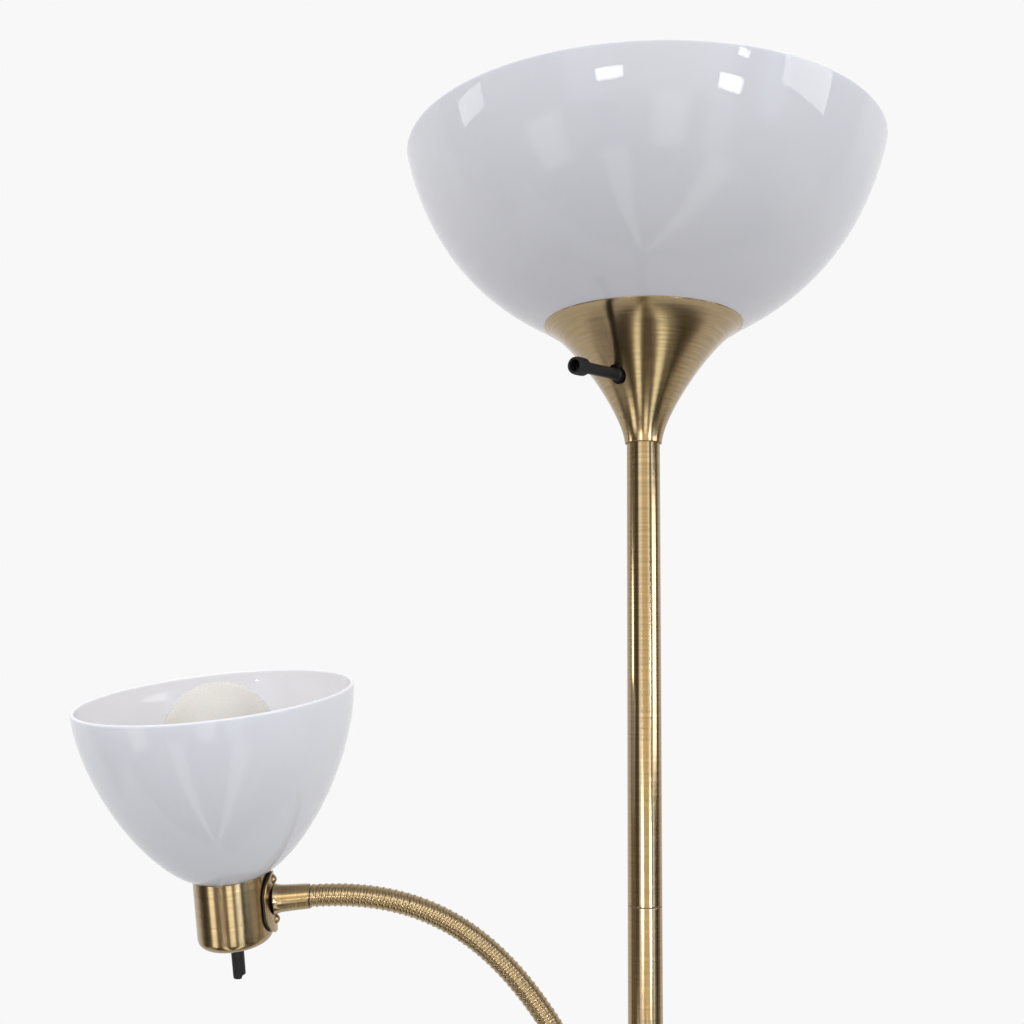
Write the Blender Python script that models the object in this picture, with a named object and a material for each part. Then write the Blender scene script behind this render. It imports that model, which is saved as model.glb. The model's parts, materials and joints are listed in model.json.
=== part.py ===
"""Torchiere floor lamp with a bowl uplight and a gooseneck reading light.

The origin is the centre of the base's underside, on the pole's axis. +Z is up, the
reading arm leans out towards -X, and the front of the lamp faces -Y. Lengths are metres.
"""

from math import asin, cos, hypot, pi, radians, sin, sqrt

import bmesh
import bpy
from mathutils import Matrix, Vector

for leftover in list(bpy.data.objects):
    bpy.data.objects.remove(leftover)

MM = 0.001
GAP = 0.3 * MM

# Driving dimensions
HEIGHT = 1816.4 * MM
BASE_R = 127 * MM
POLE_R = 10 * MM
POLE_WALL = 0.8 * MM
BOWL_R = 146.5 * MM
BOWL_RISE = 107.4 * MM
CONE_H = 69 * MM
CONE_R = 60.6 * MM
CONE_LIP_R = 11.15 * MM
CONE_LIP_DROP = 3.2 * MM
SHADE_WALL = 2.2 * MM
SHEET = 0.8 * MM
BOWL_SIDES = 44
NIPPLE_R = 4.9 * MM
NIPPLE_BORE = 3.3 * MM
LEAD_R = 2.6 * MM

# Heights up the pole
PAD_H = 2 * MM
BASE_TOP = 27 * MM
CONE_Z = HEIGHT - BOWL_RISE - CONE_H
SEAM_Z = CONE_Z - 273 * MM
JUNCTION_Z = CONE_Z - 435 * MM
COLLAR_LOW = JUNCTION_Z - 26 * MM
COLLAR_HIGH = JUNCTION_Z + 40 * MM
COLLAR_R = 13 * MM
COLLAR_CUP = 14 * MM
POLE_FOOT = BASE_TOP + GAP
POLE_TOP = CONE_Z + 12 * MM

# Reading arm
BRANCH_RISE = radians(62)
BRANCH_END = 40 * MM
BRANCH_R = 8.2 * MM
HOSE_R = 6.4 * MM
HOSE_BORE = 3 * MM
BALL_CLEAR = 0.5 * MM
CUP_LIP = 2 * MM
LINKS = 7
CURVE_START_HANDLE = 79.5 * MM
CURVE_END_HANDLE = 100 * MM

# Reading head, in its own frame: origin under the cup, +Z along the shade, +X along the horn
HORN_TIP = Vector((-192.6 * MM, 0, CONE_Z - 269.4 * MM))
HEAD_LEAN = radians(-5.1)
HEAD_TILT = radians(9.6)
HORN_Z = 22.7 * MM
HORN_X = 44 * MM
PIVOT_X = 52.6 * MM
READING_CUP_R = 21.5 * MM
READING_CUP_H = 39.7 * MM
READING_RIM_R = 78.5 * MM
READING_RIM_Z = 143.1 * MM

# Side switch in the cone
SWITCH_AZIMUTH = radians(40)
SWITCH_DROOP = radians(4.3)
SWITCH_Z = CONE_Z + 34.3 * MM
SWITCH_WALL_R = 28.3 * MM

# name: (colour, metallic, roughness)
FINISHES = {
    "antique_brass": ((0.47, 0.36, 0.19), 1.0, 0.32),
    "opal_plastic": ((0.80, 0.80, 0.84), 0.0, 0.18),
    "black_plastic": ((0.02, 0.02, 0.022), 0.0, 0.45),
    "black_rubber": ((0.025, 0.025, 0.025), 0.0, 0.8),
    "zinc_steel": ((0.62, 0.62, 0.60), 1.0, 0.35),
    "iron_weight": ((0.10, 0.10, 0.10), 0.6, 0.7),
    "bulb_glass": ((0.90, 0.86, 0.78), 0.0, 0.35),
    "bulb_cap": ((0.75, 0.74, 0.70), 1.0, 0.3),
    "porcelain": ((0.85, 0.84, 0.80), 0.0, 0.3),
    "lead_sheath": ((0.70, 0.60, 0.30), 0.0, 0.5),
}


def make_finish(name):
    colour, metallic, roughness = FINISHES[name]
    material = bpy.data.materials.new(name)
    material.use_nodes = True
    shader = material.node_tree.nodes["Principled BSDF"]
    shader.inputs["Base Color"].default_value = (*colour, 1)
    shader.inputs["Metallic"].default_value = metallic
    shader.inputs["Roughness"].default_value = roughness
    return material


MATERIALS = {name: make_finish(name) for name in FINISHES}


def add_object(name, bm, finish=None, placed=None):
    """Turn a bmesh into an object of the scene, with its faces pointing out."""
    bmesh.ops.recalc_face_normals(bm, faces=bm.faces[:])
    mesh = bpy.data.meshes.new(name)
    bm.to_mesh(mesh)
    bm.free()
    mesh.shade_smooth()
    mesh.set_sharp_from_angle(angle=radians(35))
    obj = bpy.data.objects.new(name, mesh)
    bpy.context.collection.objects.link(obj)
    if placed is not None:
        obj.matrix_world = placed
    if finish:
        obj.data.materials.append(MATERIALS[finish])
    return obj


def turned_mesh(outline, segments):
    """Closed turned solid. The outline is a loop of (radius, height); radius 0 is a pole."""
    bm = bmesh.new()
    rings = []
    for radius, height in outline:
        if radius < 1e-7:
            rings.append([bm.verts.new((0, 0, height))])
            continue
        turns = [2 * pi * k / segments for k in range(segments)]
        rings.append([bm.verts.new((radius * cos(a), radius * sin(a), height)) for a in turns])
    for k, lower in enumerate(rings):
        upper = rings[(k + 1) % len(rings)]
        if len(lower) == 1 and len(upper) == 1:
            continue
        for i in range(segments):
            j = (i + 1) % segments
            if len(lower) == 1:
                bm.faces.new((lower[0], upper[j], upper[i]))
            elif len(upper) == 1:
                bm.faces.new((lower[i], lower[j], upper[0]))
            else:
                bm.faces.new((lower[i], lower[j], upper[j], upper[i]))
    return bm


def turned(name, outline, finish, segments=24, placed=None):
    return add_object(name, turned_mesh(outline, segments), finish, placed)


def tube(name, outer, bore, low, high, finish, segments=24, placed=None):
    """Ring or tube; with no bore, a solid disc or rod."""
    if bore:
        outline = [(outer, low), (outer, high), (bore, high), (bore, low)]
    else:
        outline = [(0, low), (outer, low), (outer, high), (0, high)]
    return turned(name, outline, finish, segments, placed)


def hex_nut(name, flats, bore, low, high, finish, placed=None):
    """Hexagonal nut with a round bore: six flats outside, eighteen sides inside."""
    corner = flats / sqrt(3)
    nut = tube(name, corner, 0, low, high, finish, 6, placed)
    cut(nut, tube(name + "_bore", bore, 0, low - MM, high + MM, None, 18, placed))
    return nut


def cut(target, cutter, operation="DIFFERENCE"):
    """Boolean on target; the cutter stays in the scene as a hidden guide."""
    cutter.hide_render = True
    cutter.display_type = "WIRE"
    modifier = target.modifiers.new(cutter.name, "BOOLEAN")
    modifier.operation = operation
    modifier.solver = "EXACT"
    modifier.object = cutter


def bezier(start, handle_a, handle_b, end, count):
    """Points of one cubic curve, both ends included."""
    points = []
    for k in range(count):
        t = k / (count - 1)
        weights = ((1 - t) ** 3, 3 * (1 - t) ** 2 * t, 3 * (1 - t) * t * t, t ** 3)
        corners = (start, handle_a, handle_b, end)
        points.append(tuple(sum(w * p[i] for w, p in zip(weights, corners)) for i in (0, 1)))
    return points


def offset_profile(points, distance):
    """The same (radius, height) run moved sideways; positive goes towards the turning axis."""
    moved = []
    for k, (radius, height) in enumerate(points):
        before = points[max(k - 1, 0)]
        after = points[min(k + 1, len(points) - 1)]
        run = hypot(after[0] - before[0], after[1] - before[1])
        side = ((after[1] - before[1]) / run, -(after[0] - before[0]) / run)
        moved.append((radius - distance * side[0], height - distance * side[1]))
    return moved


def frame_along(origin, direction, up=Vector((0, 1, 0))):
    """Placement whose +Z runs along the direction."""
    z = direction.normalized()
    x = up.cross(z).normalized()
    y = z.cross(x)
    rotation = Matrix((x, y, z)).transposed().to_4x4()
    return Matrix.Translation(origin) @ rotation


def joint_empty(name, place, parent=None):
    """Empty on a joint's axis: the pieces that move on it are its children."""
    empty = bpy.data.objects.new(name, None)
    bpy.context.collection.objects.link(empty)
    empty.empty_display_size = 10 * MM
    empty.matrix_world = Matrix.Translation(place)
    if parent:
        hang(empty, parent)
    bpy.context.view_layer.update()
    return empty


def hang(obj, parent):
    placed = obj.matrix_world.copy()
    obj.parent = parent
    obj.matrix_parent_inverse = parent.matrix_world.inverted()
    obj.matrix_world = placed


# ---------------------------------------------------------------- base and pole

def build_base():
    tube("floor_pad", 121 * MM, 0, 0, PAD_H, "black_rubber", 48)

    foot, shoulder = 1.2 * MM, 13 * MM
    rounded = bezier((BASE_R, shoulder), (BASE_R, 20 * MM), (116 * MM, 21 * MM), (96 * MM, 23 * MM), 5)
    hole = NIPPLE_R + GAP
    outside = [(BASE_R, foot), *rounded, (20 * MM, BASE_TOP), (hole, BASE_TOP)]
    inside = [(hole, BASE_TOP - SHEET), (20 * MM, BASE_TOP - SHEET)]
    inside += reversed(offset_profile(rounded, SHEET))
    inside += [(BASE_R - SHEET, foot)]
    cover = turned("base_cover", outside + inside, "antique_brass", 44)

    low = PAD_H + GAP
    recess = 10.5 * MM
    weight = turned(
        "base_weight",
        [
            (120 * MM, low), (120 * MM, 13 * MM), (92 * MM, 20 * MM), (hole, 24 * MM),
            (hole, recess), (22 * MM, recess), (22 * MM, low),
        ],
        "iron_weight", 32,
    )

    # The supply lead's way out: a bush in the rear of the cover and a groove in the weight.
    inlet_z = 8 * MM
    rearward = frame_along(Vector((0, 0, inlet_z)), Vector((0, 1, 0)), Vector((0, 0, 1)))
    cut(cover, tube("inlet_hole", 4.9 * MM, 0, 110 * MM, 140 * MM, None, 18, rearward))
    cut(weight, tube("lead_groove", 5.2 * MM, 0, 10 * MM, 140 * MM, None, 18, rearward))
    bush_in, bush_out = 121 * MM, 129.6 * MM
    lip = BASE_R + 0.6 * MM
    turned(
        "cord_bush",
        [
            (4.5 * MM, bush_in), (4.5 * MM, lip), (6 * MM, lip), (5.4 * MM, bush_out),
            (3.4 * MM, bush_out), (3.4 * MM, bush_in),
        ],
        "black_plastic", 18, rearward,
    )

    tube("base_washer", 16 * MM, hole, recess - 2 * MM, recess - GAP, "zinc_steel", 24)
    hex_nut("base_nut", 17 * MM, hole, 3.6 * MM, recess - 2.3 * MM, "zinc_steel")
    tube("base_stud", NIPPLE_R, NIPPLE_BORE, PAD_H + GAP, 60 * MM, "zinc_steel", 18)

    # Turned foot ring around the lower end of the pole
    sweep = bezier((21 * MM, 31 * MM), (14 * MM, 32 * MM), (13.4 * MM, 38 * MM), (12.8 * MM, 46 * MM), 5)
    ring_bore = POLE_R + GAP
    turned(
        "pole_foot_ring",
        [(21 * MM, POLE_FOOT), *sweep, (ring_bore, 46 * MM), (ring_bore, POLE_FOOT)],
        "antique_brass", 24,
    )


def build_pole():
    inner = POLE_R - POLE_WALL
    insert_r = inner - GAP
    lower_run = (COLLAR_LOW + COLLAR_CUP - POLE_FOOT) / 3
    ends = [POLE_FOOT + k * lower_run for k in range(4)]
    ends[3] -= GAP
    spans = {
        "pole_section_1": (ends[0], ends[1]),
        "pole_section_2": (ends[1] + GAP, ends[2]),
        "pole_section_3": (ends[2] + GAP, ends[3]),
        "pole_section_4": (COLLAR_HIGH - COLLAR_CUP + GAP, SEAM_Z),
        "pole_section_5": (SEAM_Z + GAP, POLE_TOP),
    }
    for name, (low, high) in spans.items():
        tube(name, POLE_R, inner, low, high, "antique_brass", 20)

    # Inserts and couplings sit inside the tube ends
    tube("pole_foot_insert", insert_r, NIPPLE_R + GAP, POLE_FOOT + GAP, 50 * MM, "zinc_steel", 20)
    joints = {"pole_coupling_1": ends[1], "pole_coupling_2": ends[2], "pole_coupling_3": SEAM_Z}
    for name, middle in joints.items():
        tube(name, insert_r, 4.5 * MM, middle - 20 * MM, middle + 20 * MM, "zinc_steel", 20)

    rim = POLE_TOP + 2 * MM
    turned(
        "pole_top_plug",
        [
            (insert_r, POLE_TOP - 16 * MM), (insert_r, POLE_TOP + GAP), (POLE_R, POLE_TOP + GAP),
            (POLE_R, rim), (NIPPLE_R + GAP, rim), (NIPPLE_R + GAP, POLE_TOP - 16 * MM),
        ],
        "zinc_steel", 20,
    )
    tube("pole_lead", LEAD_R, 0, 5 * MM, CONE_Z + 24 * MM, "lead_sheath", 10)


def build_arm_collar(first_pivot, along):
    """Fitting on the pole that carries the gooseneck: a barrel with a slanted branch."""
    band, band_r = 3 * MM, COLLAR_R + 1.2 * MM
    cup_r, bore = POLE_R + GAP, 6.5 * MM
    cup_floor_low, cup_floor_high = COLLAR_LOW + COLLAR_CUP, COLLAR_HIGH - COLLAR_CUP
    collar = turned(
        "arm_collar",
        [
            (band_r, COLLAR_LOW), (band_r, COLLAR_LOW + band), (COLLAR_R, COLLAR_LOW + band),
            (COLLAR_R, COLLAR_HIGH), (cup_r, COLLAR_HIGH), (cup_r, cup_floor_high),
            (bore, cup_floor_high), (bore, cup_floor_low), (cup_r, cup_floor_low), (cup_r, COLLAR_LOW),
        ],
        "antique_brass", 24,
    )
    # A small twist keeps the cutters' edges off the barrel's own edges
    twist = Matrix.Rotation(radians(5), 4, "Z")
    placed = frame_along(Vector((0, 0, JUNCTION_Z)), along) @ twist
    stub = tube("branch_stub", BRANCH_R, 0, 6 * MM, BRANCH_END - CUP_LIP, None, 20, placed)
    wall_middle = (cup_r + COLLAR_R) / 2
    cut(stub, tube("branch_trim", wall_middle, 0, COLLAR_LOW, COLLAR_HIGH + 9 * MM, None, 20, twist))
    cut(collar, stub, "UNION")
    cut(collar, tube("branch_bore", HOSE_BORE, 0, 5 * MM, BRANCH_END, None, 12, placed))
    socket_place = frame_along(first_pivot, along) @ twist
    cut(collar, ball("branch_socket", HOSE_R + BALL_CLEAR, 16, socket_place))


def ball(name, radius, segments, placed):
    """Round cutter with its poles on the axis."""
    steps = 8
    outline = [(radius * sin(pi * k / steps), -radius * cos(pi * k / steps)) for k in range(steps + 1)]
    outline[0] = (0, -radius)
    outline[-1] = (0, radius)
    return turned(name, outline, None, segments, placed)


# ---------------------------------------------------------------- uplight

def build_cone():
    lip = (CONE_LIP_R, -CONE_LIP_DROP)
    curve = bezier(lip, (12.5 * MM, 16.6 * MM), (45.4 * MM, 63.1 * MM), (CONE_R, CONE_H), 8)
    inside = offset_profile(curve, SHEET)
    outline = curve + [(r, h) for r, h in reversed(inside)]
    placed = Matrix.Translation((0, 0, CONE_Z))
    cone = turned("cone_shell", outline, "antique_brass", BOWL_SIDES, placed)
    cut(cone, tube("switch_hole", 5.6 * MM, 0, -12 * MM, 14 * MM, None, 20, switch_frame()))

    # Seat: a dished plate that carries the cone on the top of the pole
    seat = POLE_TOP + 2 * MM + GAP - CONE_Z
    turned(
        "cone_seat",
        [
            (NIPPLE_R + GAP, seat), (13 * MM, seat), (15.4 * MM, seat + 2.4 * MM),
            (14.6 * MM, seat + 3 * MM), (12.6 * MM, seat + 1.2 * MM), (NIPPLE_R + GAP, seat + 1.2 * MM),
        ],
        "zinc_steel", 24, placed,
    )
    nut_low = CONE_Z + seat + 1.5 * MM
    hex_nut("seat_nut", 14 * MM, NIPPLE_R + GAP, nut_low, nut_low + 3.6 * MM, "zinc_steel")
    tube("socket_nipple", NIPPLE_R, NIPPLE_BORE, POLE_TOP - 14 * MM, nut_low + 6 * MM, "zinc_steel", 18)


def switch_frame():
    """Placement at the cone's wall, +Z out along the switch shaft."""
    level = cos(SWITCH_DROOP)
    outward = Vector((-sin(SWITCH_AZIMUTH) * level, -cos(SWITCH_AZIMUTH) * level, -sin(SWITCH_DROOP)))
    wall = Vector((-sin(SWITCH_AZIMUTH), -cos(SWITCH_AZIMUTH), 0)) * SWITCH_WALL_R
    return frame_along(wall + Vector((0, 0, SWITCH_Z)), outward, Vector((0, 0, 1)))


def build_upper_socket():
    placed = Matrix.Translation((0, 0, CONE_Z))
    low, neck = 27 * MM, 74 * MM
    well = 44 * MM
    well_r = 14.3 * MM
    socket = turned(
        "upper_socket",
        [
            (13 * MM, low), (17 * MM, 32 * MM), (17 * MM, 42 * MM), (19.5 * MM, 45 * MM),
            (19.5 * MM, 58.4 * MM), (25 * MM, 59.4 * MM), (25 * MM, 61.6 * MM), (19.5 * MM, 61.6 * MM),
            (19.5 * MM, neck), (well_r, neck), (well_r, well), (2.2 * MM, well), (2.2 * MM, low),
        ],
        "porcelain", 20, placed,
    )
    shaft_well = tube("switch_well", 3.8 * MM, 0, -19 * MM, 0, None, 14, switch_frame())
    cut(socket, shaft_well)
    tube("upper_screw_shell", 14 * MM, 13.6 * MM, 46 * MM, 70 * MM, "bulb_cap", 20, placed)
    tube("upper_contact", 5 * MM, 2.6 * MM, well + GAP, well + 0.9 * MM, "bulb_cap", 16, placed)


def bowl_outline():
    """Opal bowl: a flat seat round the socket, then one swelling curve up to the rim."""
    top = CONE_H + BOWL_RISE
    seat = [(20.2 * MM, 62 * MM), (38 * MM, 62.2 * MM), (51 * MM, 66.2 * MM)]
    start = (59.6 * MM, 69.8 * MM)
    outside = seat + bezier(start, (88 * MM, 84 * MM), (130 * MM, 110 * MM), (BOWL_R, top), 7)
    inside = offset_profile(outside, SHADE_WALL)
    inside[0] = (20.2 * MM, 62 * MM + SHADE_WALL)
    inside[-1] = (BOWL_R - SHADE_WALL, top)
    return outside + inside[::-1]


def build_uplight():
    placed = Matrix.Translation((0, 0, CONE_Z))
    turned("upper_shade", bowl_outline(), "opal_plastic", BOWL_SIDES, placed)
    turned(
        "upper_shade_ring",
        [
            (19.9 * MM, 64.6 * MM), (27 * MM, 64.6 * MM), (27 * MM, 66 * MM), (22.6 * MM, 66.8 * MM),
            (22.6 * MM, 72 * MM), (19.9 * MM, 72 * MM),
        ],
        "opal_plastic", 20, placed,
    )
    build_bulb("upper", 45.3 * MM, placed)


def build_bulb(prefix, tip, placed):
    """Lamp bulb standing on its contact tip: a thin hollow envelope and its metal cap."""
    reach, glass_r, wall = 115.4 * MM, 32.7 * MM, 0.8 * MM
    cap_r, cap_h = 13.1 * MM, 26 * MM
    neck_r = cap_r - 0.6 * MM - GAP
    neck_z = tip + 14 * MM
    centre = tip + reach - glass_r
    waist = bezier(
        (neck_r, tip + cap_h), (neck_r + 2 * MM, tip + 44 * MM),
        (glass_r, centre - 22 * MM), (glass_r, centre), 5,
    )
    turns = [radians(30 * k) for k in range(1, 4)]
    dome = [(glass_r * cos(a), centre + glass_r * sin(a)) for a in turns]
    dome[-1] = (0, centre + glass_r)
    inner_r = glass_r - wall
    inner_dome = [(inner_r * cos(a), centre + inner_r * sin(a)) for a in turns]
    inner_dome[-1] = (0, centre + inner_r)
    inner_waist = offset_profile(waist, wall)
    inner_waist[-1] = (inner_r, centre)
    outline = [(neck_r, neck_z), *waist, *dome, *inner_dome[::-1], *inner_waist[::-1]]
    outline.append((neck_r - wall, neck_z))
    turned(prefix + "_bulb_glass", outline, "bulb_glass", 16, placed)
    base = tip + 2.2 * MM
    turned(
        prefix + "_bulb_cap",
        [
            (0, tip), (4.5 * MM, tip), (6 * MM, base), (cap_r, base + 3.4 * MM), (cap_r, tip + cap_h),
            (cap_r - 0.6 * MM, tip + cap_h), (cap_r - 0.6 * MM, base + 4.4 * MM), (0, base + 4.4 * MM),
        ],
        "bulb_cap", 20, placed,
    )


def build_main_switch():
    """Rotary switch shaft out of the cone's side, with a ribbed cap on its end."""
    frame = switch_frame()
    pivot = joint_empty("main_switch_axis", frame.translation)
    shaft_r, cap_r = 3.35 * MM, 4.95 * MM
    shaft_in, shaft_out = -14 * MM, 35.5 * MM
    cap_low, cap_high = 32.5 * MM, 42.2 * MM
    shaft = turned(
        "main_switch_shaft",
        [
            (0, shaft_in), (shaft_r, shaft_in), (shaft_r, cap_low - MM), (2.4 * MM, cap_low - MM),
            (2.4 * MM, shaft_out), (0, shaft_out),
        ],
        "black_plastic", 16, frame,
    )
    bm = bmesh.new()
    ribs, mouth_r = 14, 3.3 * MM
    heights = ((cap_low, cap_r), (cap_high, cap_r), (cap_high, mouth_r), (shaft_out + GAP, mouth_r),
               (shaft_out + GAP, 2.4 * MM + GAP), (cap_low, 2.4 * MM + GAP))
    rings = []
    for height, radius in heights:
        ring = []
        for k in range(2 * ribs):
            grown = radius + (0.25 * MM if radius == cap_r and k % 2 else 0)
            turn = pi * k / ribs
            ring.append(bm.verts.new((grown * cos(turn), grown * sin(turn), height)))
        rings.append(ring)
    for k, ring in enumerate(rings):
        above = rings[(k + 1) % len(rings)]
        for i in range(2 * ribs):
            j = (i + 1) % (2 * ribs)
            bm.faces.new((ring[i], ring[j], above[j], above[i]))
    cap = add_object("main_switch_cap", bm, "black_plastic", frame)
    hang(shaft, pivot)
    hang(cap, pivot)


# ---------------------------------------------------------------- gooseneck

def hose_curve(branch_tip, along, head_frame, steps=400):
    """Centreline from the branch to the horn: one cubic in the XZ plane, and the straight horn."""
    horn_way = (head_frame.to_3x3() @ Vector((1, 0, 0))).normalized()
    a, d = branch_tip, HORN_TIP
    b = a + along * CURVE_START_HANDLE
    c = d + horn_way * CURVE_END_HANDLE
    points = []
    for k in range(steps + 1):
        t = k / steps
        points.append(a * (1 - t) ** 3 + b * 3 * t * (1 - t) ** 2 + c * 3 * t * t * (1 - t) + d * t ** 3)
    return points


def pivots_on(points, last):
    """Joint centres at equal spacing along the centreline, from its start to the last pivot."""
    reach = min(range(len(points)), key=lambda k: (points[k] - last).length)
    lengths = [0.0]
    for k in range(reach):
        lengths.append(lengths[-1] + (points[k + 1] - points[k]).length)
    places = []
    for n in range(LINKS):
        wanted = lengths[-1] * n / LINKS
        k = min(range(len(lengths)), key=lambda i: abs(lengths[i] - wanted))
        places.append(points[k])
    places.append(last)
    return places


def link_outline(length):
    """Hollow link: a ball round its lower pivot and a hollow cup short of its upper one."""
    ball_steps, cup_steps = 3, 3
    bore_angle = asin(HOSE_BORE / HOSE_R)
    swing = pi / 2 - bore_angle
    outline = []
    for k in range(ball_steps + 1):
        turn = bore_angle + swing * k / ball_steps
        outline.append((HOSE_R * sin(turn), -HOSE_R * cos(turn)))
    cup_r = HOSE_R + BALL_CLEAR
    rim_angle = asin(HOSE_R / cup_r)
    inner_angle = asin(HOSE_BORE / cup_r)
    for k in range(cup_steps + 1):
        turn = rim_angle + (inner_angle - rim_angle) * k / cup_steps
        outline.append((cup_r * sin(turn), length - cup_r * cos(turn)))
    return outline


def build_gooseneck(pivots):
    parent = None
    for k in range(LINKS):
        here, there = pivots[k], pivots[k + 1]
        parent = joint_empty(f"gooseneck_joint_{k + 1}", here, parent)
        placed = frame_along(here, there - here)
        outline = link_outline((there - here).length)
        link = turned(f"gooseneck_link_{k + 1}", outline, "antique_brass", 12, placed)
        hang(link, parent)
    return parent


# ---------------------------------------------------------------- reading head

def head_placement():
    turn = Matrix.Rotation(HEAD_LEAN, 4, "Y") @ Matrix.Rotation(HEAD_TILT, 4, "X")
    horn_point = turn @ Vector((HORN_X, 0, HORN_Z))
    return Matrix.Translation(HORN_TIP - horn_point) @ turn


def horn_frame(head):
    """Placement on the horn's axis, +Z running out from the cup."""
    sideways = Matrix.Translation((0, 0, HORN_Z)) @ Matrix.Rotation(pi / 2, 4, "Y")
    return head @ sideways


def build_horn(head):
    placed = horn_frame(head)
    ball_r = HOSE_R
    start = READING_CUP_R + 2.7 * MM
    neck = HORN_X + MM
    turns = [radians(a) for a in (90, 65, 42, 30)]
    knob = [(ball_r * sin(a), PIVOT_X + ball_r * cos(a)) for a in turns]
    flare = bezier((7.9 * MM, start), (7.6 * MM, start + 5 * MM), (7.2 * MM, HORN_X - 7 * MM),
                   (7 * MM, HORN_X), 4)
    horn = turned(
        "arm_horn",
        [*flare, (ball_r, neck), *knob, (HOSE_BORE, neck), (NIPPLE_R + GAP, HORN_X - 3 * MM),
         (NIPPLE_R + GAP, start)],
        "antique_brass", 18, placed,
    )
    nipple = tube("horn_nipple", NIPPLE_R, NIPPLE_BORE, 14 * MM, start + 9 * MM, "zinc_steel", 18, placed)
    nut = hex_nut("horn_nut", 13 * MM, NIPPLE_R + GAP, 15.4 * MM, 18.6 * MM, "zinc_steel", placed)
    return [horn, nipple, nut]


def saddle(name, inner, outer, half_width, half_height, finish, head):
    """Slice of a cylinder wall round the cup, cut to an upright stadium outline."""
    placed = head @ Matrix.Translation((0, 0, HORN_Z - 1.2 * MM))
    span = radians(42)
    across, up = 10, (-half_height - MM, half_height + MM)
    bm = bmesh.new()
    rows = []
    for height in up:
        for radius in (inner, outer):
            turns = [-span + 2 * span * k / across for k in range(across + 1)]
            rows.append([bm.verts.new((radius * cos(a), radius * sin(a), height)) for a in turns])
    low_in, low_out, high_in, high_out = rows
    for k in range(across):
        bm.faces.new((low_in[k], low_in[k + 1], low_out[k + 1], low_out[k]))
        bm.faces.new((high_in[k], high_out[k], high_out[k + 1], high_in[k + 1]))
        bm.faces.new((low_out[k], low_out[k + 1], high_out[k + 1], high_out[k]))
        bm.faces.new((low_in[k], high_in[k], high_in[k + 1], low_in[k + 1]))
    for k in (0, across):
        bm.faces.new((low_in[k], low_out[k], high_out[k], high_in[k]))
    piece = add_object(name, bm, finish, placed)

    # Stadium: a straight run with a half round at the top and at the bottom
    straight = half_height - half_width
    bm = bmesh.new()
    edge = []
    for k in range(8):
        turn = pi * k / 7
        edge.append((half_width * cos(turn), straight + half_width * sin(turn)))
    for k in range(8):
        turn = pi + pi * k / 7
        edge.append((half_width * cos(turn), -straight + half_width * sin(turn)))
    near = [bm.verts.new((10 * MM, y, z)) for y, z in edge]
    far = [bm.verts.new((30 * MM, y, z)) for y, z in edge]
    bm.faces.new(near)
    bm.faces.new(far)
    for k in range(len(edge)):
        j = (k + 1) % len(edge)
        bm.faces.new((near[k], near[j], far[j], far[k]))
    cut(piece, add_object(name + "_outline", bm, None, placed), "INTERSECT")
    return piece


def build_reading_cup(head):
    height, wall, corner = READING_CUP_H, SHEET, 5.5 * MM
    key_hole = 4.6 * MM
    steps = 4
    outside = [(key_hole, 0)]
    inside = [(key_hole, wall)]
    for k in range(steps + 1):
        turn = pi / 2 * k / steps
        across, down = sin(turn), 1 - cos(turn)
        flat = READING_CUP_R - corner
        outside.append((flat + corner * across, corner * down))
        inside.append((flat + (corner - wall) * across, wall + (corner - wall) * down))
    outside.append((READING_CUP_R, height))
    inside.append((READING_CUP_R - wall, height))
    cup = turned("reading_cup", outside + inside[::-1], "antique_brass", 32, head)

    gasket_in = READING_CUP_R + GAP
    gasket_out = gasket_in + 0.9 * MM
    plate_in = gasket_out + 0.2 * MM
    plate_out = READING_CUP_R + 2.4 * MM
    gasket = saddle("saddle_gasket", gasket_in, gasket_out, 12 * MM, 16.9 * MM, "black_rubber", head)
    plate = saddle("saddle_plate", plate_in, plate_out, 12.5 * MM, 17.3 * MM, "antique_brass", head)

    walls = (cup, gasket, plate)
    lead_way = tube("horn_hole", NIPPLE_R + GAP, 0, 14 * MM, 30 * MM, None, 18, horn_frame(head))
    for wall_piece in walls:
        cut(wall_piece, lead_way)
    screws = []
    for word, side in (("upper", 1), ("lower", -1)):
        placed = horn_frame(head) @ Matrix.Translation((-side * 11.6 * MM, 0, 0))
        hole = tube(f"screw_hole_{word}", 1.8 * MM, 0, 14 * MM, 30 * MM, None, 12, placed)
        for wall_piece in walls:
            cut(wall_piece, hole)
        under = plate_out + GAP
        screws.append(turned(
            f"plate_screw_{word}",
            [
                (0, 20 * MM), (1.5 * MM, 20 * MM), (1.5 * MM, under), (2.8 * MM, under),
                (2.7 * MM, under + 0.8 * MM), (1.6 * MM, under + 1.7 * MM), (0, under + 1.9 * MM),
            ],
            "antique_brass", 14, placed,
        ))
    return [cup, gasket, plate, *screws]


def reading_shade_outline():
    """Opal shade: the radius follows a parabola-like swell from the cup's rim to the mouth."""
    outside = [(20.2 * MM, READING_CUP_H + GAP)]
    swell, steps = READING_RIM_R - READING_CUP_R, 7
    for k in range(steps + 1):
        s = (k / steps) ** 1.25
        radius = READING_CUP_R + swell * (1 - (1 - s) ** 1.65) ** 0.73
        height = READING_CUP_H + GAP + (READING_RIM_Z - READING_CUP_H - GAP) * s
        outside.append((radius, height))
    inside = offset_profile(outside, SHADE_WALL)
    inside[0] = (20.2 * MM, READING_CUP_H + GAP + SHADE_WALL)
    inside[1] = (READING_CUP_R + 0.9 * MM, READING_CUP_H + GAP + SHADE_WALL)
    inside[-1] = (READING_RIM_R - SHADE_WALL, READING_RIM_Z)
    return outside + inside[::-1]


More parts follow.
